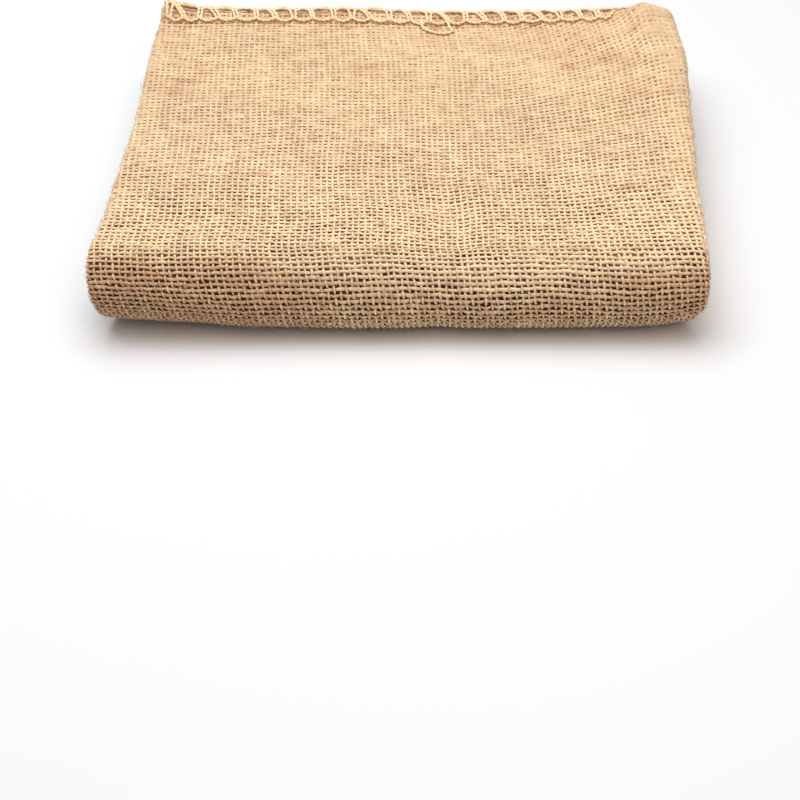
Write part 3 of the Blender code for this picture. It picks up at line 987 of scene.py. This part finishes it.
# %% Weft and warp
def weave_weft(name, seed, rows, from_u, to_u, spaced=lambda row: row):
    """The weft yarns of the given rows, between two places round the tube. The last argument
    tells where along the lattice each row lies."""
    rng = np.random.default_rng(seed)
    rows = np.asarray(rows, float)[:, None]
    middle_v = lattice((from_u + to_u) / 2 / WARP_PITCH + 0 * rows, spaced(rows))[1]
    first = np.ceil((from_u - slide(middle_v)) / WARP_PITCH)
    a = first + crossings(int((to_u - from_u) / WARP_PITCH))
    where = a * WARP_PITCH
    u, v = lattice(a, spaced(rows + wander(rng, where, WEFT.sway)))
    over = np.where((np.rint(a) + rows) % 2 == 1, 1.0, -1.0)
    inside = (v > 0.4) & (v < LONG - 0.4)
    return spin(name, WEFT, rng, where, u, v, over, inside, (first * WARP_PITCH, to_u - from_u),
                spaced(rows + 0.5) - spaced(rows - 0.5))


def weave_warp(name, seed, columns, from_row, to_row, from_u, to_u, spaced=lambda row: row):
    """The warp yarns of the given columns, where they lie between two places round the tube."""
    rng = np.random.default_rng(seed)
    columns = np.asarray(columns, float)[:, None]
    row = from_row + crossings(int(to_row - from_row) + 1) + 0 * columns
    where = row * WEFT_PITCH
    u, v = lattice(columns + wander(rng, where, WARP.sway), spaced(row))
    over = np.where((np.rint(row) + columns) % 2 == 0, 1.0, -1.0)
    inside = (v > 0.1) & (v < LONG) & (u > from_u) & (u < to_u)
    return spin(name, WARP, rng, where, u, v, over, inside)


print("ten crossings are", round(10 * WARP_PITCH, 1), "mm of weft and", round(10 * WEFT_PITCH, 1),
      "mm of warp")

# %% Weave the top and the front
FRONT_END = int((STARTS[3] + 10) / WEFT_PITCH)   # last row, just under the front
FROM_U, TO_U = -10.0, SPAN + 22.0
TOP_ROWS, FRONT_ROWS = np.arange(-20, 78), np.arange(78, FRONT_END + 1)
yarn_pieces = [
    weave_weft("weft_top", 1, TOP_ROWS, FROM_U, TO_U),
    weave_weft("weft_front", 2, FRONT_ROWS, FROM_U, TO_U),
    weave_warp("warp_left", 3, np.arange(-12, 48), -18, FRONT_END, FROM_U, TO_U),
    weave_warp("warp_right", 4, np.arange(48, 106), -18, FRONT_END, FROM_U, TO_U),
]

# %% [markdown]
# Sides and back
#
# At a turned side the cloth shows its plies one over the other, and at the back the lower band's
# fold shows. Short lengths of the same weave cover them. In a fold the outer plies lie on a
# wider turn than the ply that the cloth is measured on, so their rows are spaced out
# again to lie evenly.

# %% Weave the sides and the back
LOWER_HAIRPIN = float(PART_STARTS[3]) + INNER / 2
UPPER_HAIRPIN = -INNER / 2
RIGHT_TURN = SPAN + OUTER / 2
UNDER_FRONT = FRONT_END * WEFT_PITCH
SLIDE_ROOM = 26                  # mm, a little more than the warp ever slides


def even_rows(off):
    """Rows that lie evenly at one side of the folded sack, off the band's middle."""
    true = np.append(0.0, np.cumsum(run_lengths(off, LENGTHS)))
    measured = np.append(STARTS, LONG)
    return lambda row: row + np.interp(row * WEFT_PITCH, true, measured - true) / WEFT_PITCH


def weave_side(name, seed, middle, half, off, from_v):
    """Short weft yarns and the warp yarns that they cross, along one turned side."""
    spaced = even_rows(off)
    rows = np.arange(-1, 400)        # more than there are, so the last is found below
    places = spaced(rows) * WEFT_PITCH
    rows = rows[(places > from_v) & (places < LONG)]
    columns = np.arange(int((middle - half - SLIDE_ROOM) / WARP_PITCH),
                        int((middle + half + 2) / WARP_PITCH) + 1)
    ends = middle - half, middle + half
    return [
        weave_weft(f"weft_{name}", seed, rows, *ends, spaced),
        weave_warp(f"warp_{name}", seed + 1, columns, rows[0], rows[-1], *ends, spaced),
    ]


yarn_pieces += weave_side("left_upper", 11, UPPER_HAIRPIN, 5.5, 1.0, UNDER_FRONT)
yarn_pieces += weave_side("left_lower", 13, LOWER_HAIRPIN, 5.5, -1.0, -5)
yarn_pieces += weave_side("right_turn", 15, RIGHT_TURN, 10.5, 0.0, UNDER_FRONT)
BACK_ROWS = np.arange(int((STARTS[4] - 5) / WEFT_PITCH), int((STARTS[5] + 5) / WEFT_PITCH) + 1)
BACK_ENDS = 3.0, SPAN - 2.0
yarn_pieces += [
    weave_weft("weft_back", 17, BACK_ROWS, *BACK_ENDS),
    weave_warp("warp_back", 18, np.arange(-10, 98), BACK_ROWS[0], BACK_ROWS[-1], *BACK_ENDS),
]

# %% [markdown]
# The weave as a finish
#
# Deep in the folds the cloth shows only as thin edges, too narrow for yarns of their own. A
# texture from a file would repeat and blur there, so a few Math nodes make the weave instead:
# two sets of round ridges that go over and under each other, and the gaps that they leave.

# %% Weave group for the sheet
weave_group, given, leave = new_group(
    "plain weave", [("Crossing", "Vector")], [("Height", "Float"), ("Gap", "Float")])


def weave_maths(operation, *values):
    """The result of a Math node in the weave group."""
    return maths(weave_group, operation, *values)


def yarn_height(along_it, over_it, half, later):
    """Height of one set of yarns, and where it lies, from the number of the yarn, the number of
    the yarn it crosses, and half its width; later is 1 for the set that starts by going under."""
    off = weave_maths("SUBTRACT", weave_maths("FRACT", along_it), 0.5)
    off = weave_maths("DIVIDE", off, half)
    round_off = weave_maths("SUBTRACT", 1.0, weave_maths("MULTIPLY", off, off))
    turns = weave_maths("ADD", weave_maths("SUBTRACT", over_it, 0.5),
                        weave_maths("FLOOR", along_it))
    turns = weave_maths("ADD", turns, later)
    wave = weave_maths("COSINE", weave_maths("MULTIPLY", turns, math.pi))
    return (weave_maths("MULTIPLY_ADD", wave, 0.5, round_off),
            weave_maths("GREATER_THAN", round_off, 0.0))


# The yarns wander a little, so the crossings are first pushed about by a slow noise
push = add_node(weave_group, "TexNoise",
                {"Vector": given["Crossing"], "Scale": 0.55, "Detail": 2.0})
push = add_node(weave_group, "VectorMath",
                {0: push.outputs["Color"], 1: (0.5, 0.5, 0.5)}, operation="SUBTRACT")
push = add_node(weave_group, "VectorMath", {
    0: push.outputs[0], 1: (1.5, 1.5, 0.0), 2: given["Crossing"]}, operation="MULTIPLY_ADD")
x, y, _ = add_node(weave_group, "SeparateXYZ", {"Vector": push.outputs[0]}).outputs
warp_height, warp_there = yarn_height(x, y, 0.21, 0.0)
weft_height, weft_there = yarn_height(y, x, 0.34, 1.0)
feed(weave_group, leave, {
    "Height": weave_maths("MAXIMUM", warp_height, weft_height),
    "Gap": weave_maths("SUBTRACT", 1.0, weave_maths("MAXIMUM", warp_there, weft_there))})
print("group", weave_group.name, "with", len(weave_group.nodes), "nodes")

# %% Cloth finish
# In the gaps of the yarns: near the seam, where light gets in, and on the open front
SHADE, DARK_SHADE = (0.80, 0.60, 0.36, 1.0), (0.045, 0.022, 0.010, 1.0)

sheet_material, shader = new_material(
    "jute cloth", {"Roughness": 0.95, "Specular IOR Level": 0.15})
tree = sheet_material.node_tree
crossing = add_node(tree, "UVMap", uv_map="crossing").outputs["UV"]
weave = add_node(tree, "Group", node_tree=weave_group)
fibres = add_node(tree, "Group", node_tree=fibre_group)
feed(tree, weave, {"Crossing": crossing})
feed(tree, fibres, {"Yarn": crossing})
shade = maths(tree, "MAXIMUM", marked(tree, "covered"), weave.outputs["Gap"])
shadow = blend(tree, marked(tree, "deep"), SHADE, DARK_SHADE)
relief = add_node(tree, "Bump", {
    "Strength": 0.8, "Distance": 0.5 * MM, "Height": weave.outputs["Height"]})
feed(tree, shader, {"Base Color": blend(tree, shade, fibres.outputs["Colour"], shadow),
                    "Normal": relief.outputs["Normal"]})
print("finish:", sheet_material.name)

# %% [markdown]
# The ground sheet
#
# Between and behind the yarns of the outermost ply lies the rest of the sack: fifteen more
# plies of the same cloth. Sixteen separate sheets would need their edges joined at every fold,
# so this is one thin sheet, folded just as the sack is. Where yarns cover it, it is the shade in
# their gaps, and at the turned sides and the back it closes what shows between them.

# %% Lay the sheet through all its folds
SHEET = 0.5                      # its thickness
SHEET_DOWN = 0.55                # under the woven layer
WRAP = 12                        # so close to its end, the tube is counted on from its start
U_STEPS = (40, 7, 36, 5, 36, 5, 36, 5)           # points on each ply and turn round the tube
V_STEPS = (7, 26, 14, 14, 9, 14, 7, 14)          # points on each run and fold along it


def evenly(starts, lengths, counts, end):
    """Places along some parts, so many on each, and the end."""
    return np.concatenate([
        start + length * np.arange(count) / count
        for start, length, count in zip(starts, lengths, counts)] + [[end]])


def sack_sheet():
    """One grid moved into the folds, closed round the tube and thickened."""
    u = evenly(PART_STARTS, PARTS["length"], U_STEPS, ROUND)
    v = evenly(STARTS, LENGTHS, V_STEPS, LONG)
    mesh, column, row = grid_mesh("sack_sheet", len(u), len(v))
    at_u, at_v = u[column], v[row]
    wrapped = np.where(at_u > ROUND - WRAP, at_u - ROUND, at_u)
    woven = (wrapped > FROM_U) & (wrapped < TO_U) & (at_v < STARTS[3] + 8)
    # How dark the painted shade in the gaps is: lighter near the seam, darker towards the front
    # fold and where no yarns lie
    deep = 0.8 * fade(at_v, 50, CREASE_V - 15) + 0.2 * frontward(wrapped, at_v)
    deep = np.where(woven, deep + 0.3 * np.clip(patches(at_u, at_v, 3), 0, 1), 0.8)
    made = shaped(
        mesh, fold(at_u, at_v, np.full(len(at_u), LAY - SHEET_DOWN)),
        {"covered": woven, "deep": deep},
        {"crossing": (at_u / WARP_PITCH, at_v / WEFT_PITCH)}, sheet_material, 0.01 * MM)
    wall = made.modifiers.new("cloth", "SOLIDIFY")
    wall.thickness, wall.offset = SHEET * MM, 0.0
    return made


sheet = sack_sheet()
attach(sheet, "root")
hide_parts("sack_cloth")
print("sheet", len(sheet.data.polygons), "faces")

# %% [markdown]
# The seam twine
#
# The bottom of the sack is whipped shut with pale jute twine. Each stitch lays a scallop on the
# cloth and takes two strands over the edge. Its path is a row of points measured from the
# cloth's end, so it stays on the cloth where that curls or bends, and a smooth curve joins them.

# %% A stitch of the seam
ENTRY = 5.6                      # mm in from the end, where the twine goes through the cloth
CLOTH_OVER = 0.85                # of the upper ply over its middle, with its yarns
OVER_EDGE = (  # the strand: share of its lean, mm in from the end, mm above the cloth
    (0.0, 8.3, -0.8), (0.0, 7.4, 0.1), (0.08, 6.2, 0.3), (0.42, 3.6, 0.1), (0.85, 1.2, 0.0))
ROUND_EDGE = ((-0.7, 1.7), (-1.5, 0.3), (-1.1, -1.4))  # mm in, mm above the plies' middle
LOOP = (  # the slack stitch that hangs down over the cloth: stitch, mm in from the end
    (13.62, 7.0), (13.66, 10.5), (13.80, 14.8), (14.15, 18.2), (14.60, 20.0), (15.02, 20.2),
    (15.22, 17.8), (15.12, 13.0), (15.02, 7.2))


def over_cloth(inward):
    """How far above the middle of the two seam plies the twine lies, at a way in."""
    return 0.5 * PITCH * np.interp(inward / TAIL, *TAIL_APART) + CLOTH_OVER + TWINE / 2


def scallop(number, slack):
    """The twine on the cloth from one foot to the next: stitch, way in from the end, and above
    the middle of the two seam plies."""
    start, end = FEET[number], FEET[number + 1]
    share = np.array([0.0, 0.06, 0.2, 0.36, 0.5, 0.64, 0.8, 0.94, 1.0])
    stitch = start + (end - start) * share
    inward = base_line(stitch) + slack * np.sin(np.pi * share)
    inward[[0, -1]] = ENTRY * shorter(stitch[[0, -1]])
    sunk = np.array([0.9, 0.25, 0, 0, 0, 0, 0, 0.25, 0.9])
    above = (over_cloth(inward) - sunk) * np.clip(2 * shorter(stitch), 0, 1)
    return np.stack([stitch, inward, above], 1)


def strand(foot, top):
    """The twine from a foot over the edge to the underside."""
    far = shorter(foot)
    points = [(foot + (top - foot) * way, inward * far,
               (over_cloth(inward * far) + up) * np.clip(2 * far, 0, 1))
              for way, inward, up in OVER_EDGE]
    points += [(top, inward, up) for inward, up in ROUND_EDGE]
    points += [(top, inward, -over_cloth(inward)) for inward in (0.8, ENTRY)]
    return np.array(points)


print("a scallop has", len(scallop(0, 0.0)), "points, a strand", len(strand(0.0, 0.0)))

# %% All stitches of the seam
TOPS = np.sort(np.concatenate([
    FEET - np.resize(LEANS, len(FEET)) + turn * np.resize(PAIRS, len(FEET)) for turn in (-0.5, 0.5)
]))


def stitch_paths():
    """The scallops, the strands and the slack loop, in that order."""
    rng = np.random.default_rng(5)
    paths = [scallop(n, rng.uniform(-0.4, 0.5)) for n in range(STITCHES)]
    for n, foot in enumerate(FEET):
        lean, apart = LEANS[n % len(LEANS)], PAIRS[n % len(PAIRS)]
        for turn in (-0.5, 0.5):
            paths.append(strand(foot + turn * min(apart, 0.18), foot - lean + turn * apart))
    paths.append(np.array([(at, inward, over_cloth(inward)) for at, inward in LOOP]))
    return paths


def seam_places(stitch, inward, above, pair=UPPER):
    """Where points of the seam lie in the folded sack."""
    left, right = side_axes(0.0)
    share = 2 * (FIRST_STITCH + stitch * STITCH - left) / (right - left) - 1
    return np.stack(
        place(share, 0.0, SEAM_Y - inward, pair + above / PITCH, inward / TAIL), -1)


print(len(TOPS), "strands over the edge")

# %% [markdown]
# Twisted twine
#
# The twine is two plies twisted together, and its winding light and dark is what makes it read
# as twine. So each stitch is two thin tubes that wind round one path. Fibres and frayed threads
# are single tubes of the same kind.


# %% Tubes along free paths
def smooth_path(points, count):
    """A smooth curve through points, as a number of even steps (Catmull-Rom)."""
    padded = np.concatenate([points[:1], points, points[-1:]])
    t = np.linspace(0, 1, 8, endpoint=False)[:, None]
    pieces = []
    for a, b, c, d in zip(padded, padded[1:], padded[2:], padded[3:]):
        pieces.append(0.5 * (2 * b + (c - a) * t + (2 * a - 5 * b + 4 * c - d) * t ** 2
                             + (3 * b - a - 3 * c + d) * t ** 3))
    fine = np.concatenate(pieces + [points[-1:]])
    far = way_along(fine)
    even = np.linspace(0, far[-1], count)
    return np.stack([np.interp(even, far, fine[:, k]) for k in range(3)], -1)


def way_along(path):
    """How far along a path each of its points lies."""
    return np.append(0.0, np.cumsum(np.linalg.norm(np.diff(path, axis=0), axis=1)))


def frames(path):
    """Two directions square to a path that turn with it as little as they can."""
    way = np.gradient(path, axis=0)
    way /= np.linalg.norm(way, axis=1)[:, None]
    first = np.empty_like(path)
    first[0] = np.cross(way[0], (0.0, 0.3, 1.0))
    first[0] /= np.linalg.norm(first[0])
    for n in range(1, len(path)):
        turned = first[n - 1] - way[n] * (first[n - 1] @ way[n])
        first[n] = turned / np.linalg.norm(turned)
    return first, np.cross(way, first)


def strand_piece(name, paths, radii, sides, tone, rust, **finish):
    """Tubes of given radius along paths with the same number of points, as one piece."""
    paths, radii = np.asarray(paths), np.asarray(radii)
    first, second = np.swapaxes([frames(path) for path in paths], 0, 1)

    def placed(yarn, step, ring):
        """The round tube's points about its path, none of them in the table."""
        angle = (2 * np.pi * ring / sides)[:, None]
        places = paths[yarn, step] + radii[yarn, step][:, None] * (
            np.cos(angle) * first[yarn, step] + np.sin(angle) * second[yarn, step])
        places[:, 2] = np.maximum(places[:, 2], TABLE_GAP)
        return places

    return tube_piece(name, radii.shape, sides, placed, tone, rust,
                      np.array([way_along(path) for path in paths]), **finish)


half_circle = np.stack([np.cos((0, 0.8, 1.6, 2.4, np.pi)), np.sin((0, 0.8, 1.6, 2.4, np.pi)),
                        np.zeros(5)], 1)
arc = smooth_path(half_circle, 50)
print("a smoothed half circle is", round(way_along(arc)[-1], 2), "long, pi is", round(math.pi, 2))

# %% Twist two plies into the twine
TWIST_LONG = 5.6                 # one turn of the plies round each other
PLY_OFF, PLY_RADIUS = 0.40, 0.57                 # of each ply, off the twine's middle


def seam_twine(name, paths, points, sides):
    """Each stretch of twine as two plies that wind round it; its ends are tucked under."""
    rng = np.random.default_rng(6)
    strands, radii, tone = [], [], []
    for places in paths:
        path = smooth_path(places, points)
        first, second = frames(path)
        way = np.linspace(0, way_along(path)[-1], points)
        turn = (way / TWIST_LONG * 2 * np.pi + rng.uniform(0, 6))[:, None]
        for start in (0.0, np.pi):
            strands.append(path + PLY_OFF * (np.cos(turn + start) * first
                                             + np.sin(turn + start) * second))
            thick = PLY_RADIUS * (1 + wander(rng, way, ((0.10, 21), (0.10, 9)))[0])
            thick[0] = thick[-1] = 0.0
            radii.append(thick)
            tone.append(TWINE_TONE + rng.normal(0, 0.05) + wander(rng, way, ((0.06, 17),))[0])
    return strand_piece(name, strands, radii, sides, tone, 0.0, material=jute_twine,
                        slot="jute_twine", stacks=6)


twine = seam_twine("seam_cord", [seam_places(*path.T) for path in stitch_paths()], 42, 6)
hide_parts("seam_twine")
# On the lower pair of plies the other half of the same seam lies upside down
turned_over = strand(0.0, 0.0) * (1.0, 1.0, -0.9)
seam_twine("seam_cord_lower", [
    seam_places(*(turned_over + (top + 0.3, 0.0, 0.0)).T, LOWER) for top in TOPS], 24, 5)

# %% [markdown]
# The raw edge under the stitches
#
# The cloth's cut end isn't hemmed. Its last threads are packed and frayed, and between the
# stitches they bulge out over the edge. They are a few threads that run along the end and
# swell out between the strands. A solid roll would hide that the cloth is cut there.

# %% Raw edge
EDGE_THREADS = (  # pair of plies, share of the bulge, height, radius (mm), tone, rust
    (UPPER, 1.0, 0.3, 0.90, 0.85, 0.08), (UPPER, 0.8, -0.8, 0.75, 0.65, 0.08),
    (UPPER, 0.8, 1.4, 0.72, 0.85, 0.10), (UPPER, 0.2, 0.4, 0.95, 0.60, 0.20),
    (UPPER, 0.3, 1.9, 0.70, 0.75, 0.14), (UPPER, 0.2, -1.6, 0.60, 0.30, 0.20),
    (LOWER, 0.6, 0.4, 0.80, 0.60, 0.10), (LOWER, 0.5, -0.8, 0.75, 0.50, 0.10),
    (LOWER, 0.1, -0.2, 0.95, 0.20, 0.25),
)
EDGE_OUT = 0.2, 1.7              # mm that they lie past the end, and more between the strands
STRAND_HOLDS = 0.17              # stitches on each side of a strand where it holds them in
# The thread of the cloth that the stitches draw tight against their foot, dark as a painted
# shadow of the twine: in from the foot, over the twine's middle, radius (mm), tone and rust
SHADOW_THREAD = 1.25, -1.1, 0.32, -0.25, 0.25


def edge_bulge(stitch):
    """How far the raw cloth stands out past its end between the strands, 0 to 1."""
    nearest = np.abs(stitch[:, None] - TOPS[None, :]).min(axis=1)
    return 1 - np.exp(-(nearest / STRAND_HOLDS) ** 2)


def raw_edge():
    """The threads along the cloth's end, and the dark one at the stitches' foot, a painted shadow.
    """
    rng = np.random.default_rng(21)
    stitch = np.linspace(0.02, STITCHES + 0.4, 600)
    places, radii, tone, rust = [], [], [], []

    def uneven(*sizes):
        """Slow drift along the seam, by waves of given size and length in stitches."""
        return wander(rng, stitch, sizes)[0]

    for pair, out, above, radius, colour, red in EDGE_THREADS:
        bulge = edge_bulge(stitch) * (1 + uneven((0.16, 2.3), (0.1, 0.9)))
        height = above * (0.75 + 0.35 * bulge) + uneven((0.2, 0.8), (0.12, 0.37))
        past = (EDGE_OUT[0] + EDGE_OUT[1] * bulge) * out
        places.append(seam_places(stitch, -past, height, pair))
        radii.append(radius * (1 + uneven((0.18, 1.7), (0.14, 0.43))))
        tone.append(colour + uneven((0.1, 1.3), (0.08, 0.4)))
        rust.append(red * (1 + uneven((0.7, 2.1), (0.5, 0.7))))
    beyond, above, radius, colour, red = SHADOW_THREAD
    inward = base_line(stitch) + beyond + uneven((0.15, 1.9))
    places.append(seam_places(stitch, inward, over_cloth(inward) + above))
    radii.append(np.clip(radius + uneven((0.20, 2.7), (0.14, 1.1)), 0.05, 1))
    tone.append(np.full(len(stitch), colour))
    rust.append(np.full(len(stitch), red))
    radii = np.array(radii)
    radii[:, [0, -1]] = 0.0
    return strand_piece("raw_edge", places, radii, 5, tone, rust)


edge = raw_edge()

# %% [markdown]
# Loose fibres
#
# Jute is hairy: fibres stand off every yarn. The finest can't be told apart, but the longer
# ones give the sack its soft outline. Each is a thin curled tube that starts on the cloth. A
# hair system would do it too, but tubes stay in the exported mesh.

# %% Fibres off the cloth
FIBRE_START = 0.7                # over the middle of the woven layer


def hair_paths(rng, u, v, lengths, rise, points, curl):
    """Curled paths on the flat cloth from the given places, carried to the folds."""
    many = (len(u), 1)
    heading, bend = rng.uniform(0, 2 * np.pi, many), rng.normal(0, 1.5 + curl, many)
    t = np.linspace(0, 1, points)
    turn = heading + bend * t * 1.6
    turn = turn + curl * np.sin(2 * np.pi * rng.uniform(0.8, 2.0, many) * t)
    step = lengths[:, None] / (points - 1)
    way_u, way_v = (np.pad(np.cumsum(wave(turn[:, 1:]) * step, 1), ((0, 0), (1, 0)))
                    for wave in (np.cos, np.sin))
    arch = np.sin(np.pi * (0.15 + rng.uniform(0.35, 0.85, many) * t))
    lift = LAY + FIBRE_START + rise[:, None] * (arch - arch[:, :1])
    return fold(u[:, None] + way_u, v[:, None] + way_v, lift)


one = hair_paths(np.random.default_rng(0), *np.array([[SPAN / 2], [50.0], [6.0], [1.4]]), 6, 0.0)
print("a fibre of 6 mm climbs", round(float(np.ptp(one[0, :, 2])), 1), "mm")


# %% Fibres of some kinds
def fibre_piece(name, seed, kinds, taper, curl, shortest, lowest, power, radius, tone_range,
                red_of, sides, stacks):
    """Fibres of some kinds as one piece. Each kind says how many there are, from and to which
    u and v they start, how long (mm) the longest is, how far it rises (mm) and how red it is.
    The other values say how all of them taper, curl and vary."""
    rng = np.random.default_rng(seed)
    paths, radii, tone, rust = [], [], [], []
    for count, u0, u1, v0, v1, longest, highest, red in kinds:
        u, v = rng.uniform(u0, u1, count), rng.uniform(v0, v1, count)
        lengths = rng.uniform(shortest, 1.0, count) ** power[0] * longest
        rise = rng.uniform(lowest, 1.0, count) ** power[1] * highest
        paths.append(hair_paths(rng, u, v, lengths, rise, len(taper), curl))
        radii.append(rng.uniform(*radius, (count, 1)) * np.array([taper]))
        tone.append(rng.uniform(*tone_range, (count, 1)))
        rust.append(red_of(rng.random((count, 1))) * red)
    return strand_piece(name, *map(np.concatenate, (paths, radii)), sides,
                        *map(np.concatenate, (tone, rust)), stacks=stacks)


# %% [markdown]
# Short fibres and long ones
#
# Most loose fibres are a few millimetres long and barely rise. A little over a hundred are long
# and curled, chiefly low on the front fold and beside the seam. One function makes both, each
# from a table, but in two pieces, because only the long ones need many points for their curls.

# %% Short fibres all over, and the few longest
FRONT_LOW = STARTS[2] + 0.72 * LENGTHS[2]        # on the lower half of the front fold
SHORT = (
    (1900, -3, SPAN + 8, 2, STARTS[2], 6.0, 1.4, 0.6),
    (1500, -3, SPAN + 8, STARTS[2], STARTS[3] - 8, 6.0, 1.6, 0.6),
    (260, -5, 0, 2, STARTS[3], 7.0, 2.5, 0.6),
    (300, SPAN + 1, SPAN + OUTER, 2, STARTS[3], 8.0, 2.8, 0.6),
    (420, 0, SPAN * 0.93, -1.5, 4, 5.0, 2.0, 0.6),
    (200, SPAN, SPAN + OUTER, STARTS[3], LONG - 10, 6.0, 2.0, 0.6),
    (160, 0, SPAN, STARTS[4], STARTS[5], 6.0, 2.0, 0.6),
)
LONGEST = (
    (16, 10, SPAN - 10, FRONT_LOW - 8, FRONT_LOW + 5, 16.0, 4.0, 0.3),
    (8, 62, 96, FRONT_LOW - 4, FRONT_LOW + 5, 21.0, 5.0, 0.8),
    (14, 10, SPAN - 10, STARTS[2] + 5, FRONT_LOW, 13.0, 2.5, 0.4),
    (10, SPAN + 1, SPAN + 7, 15, 215, 15.0, 4.0, 0.2),
    (8, -4, 0.0, 15, 215, 14.0, 4.0, 0.2),
    (12, 0.0, SPAN * 0.9, 0.0, 6, 10.0, 3.5, 0.3),
    (26, 5, SPAN, 12, STARTS[2], 13.0, 1.6, 0.4),
    (34, 0.53 * SPAN, 0.59 * SPAN, 7, 19, 9.0, 1.8, 0.25),
)
hairs = fibre_piece(
    "loose_fibres", 31, SHORT, (0.0, 1.0, 1.0, 0.9, 0.7, 0.0), curl=0.0, shortest=0.3, lowest=0.2,
    power=(1.5, 1.4), radius=(0.045, 0.085), tone_range=(0.15, 0.95),
    red_of=lambda chance: chance < 0.12, sides=3, stacks=40)
curls = fibre_piece(
    "long_fibres", 37, LONGEST, (0.0, *np.linspace(1.0, 0.6, 16), 0.0), curl=1.4, shortest=0.6,
    lowest=0.3, power=(1.0, 1.0), radius=(0.07, 0.12), tone_range=(-0.1, 0.9),
    red_of=lambda chance: 0.2 + 0.8 * chance, sides=4, stacks=4)
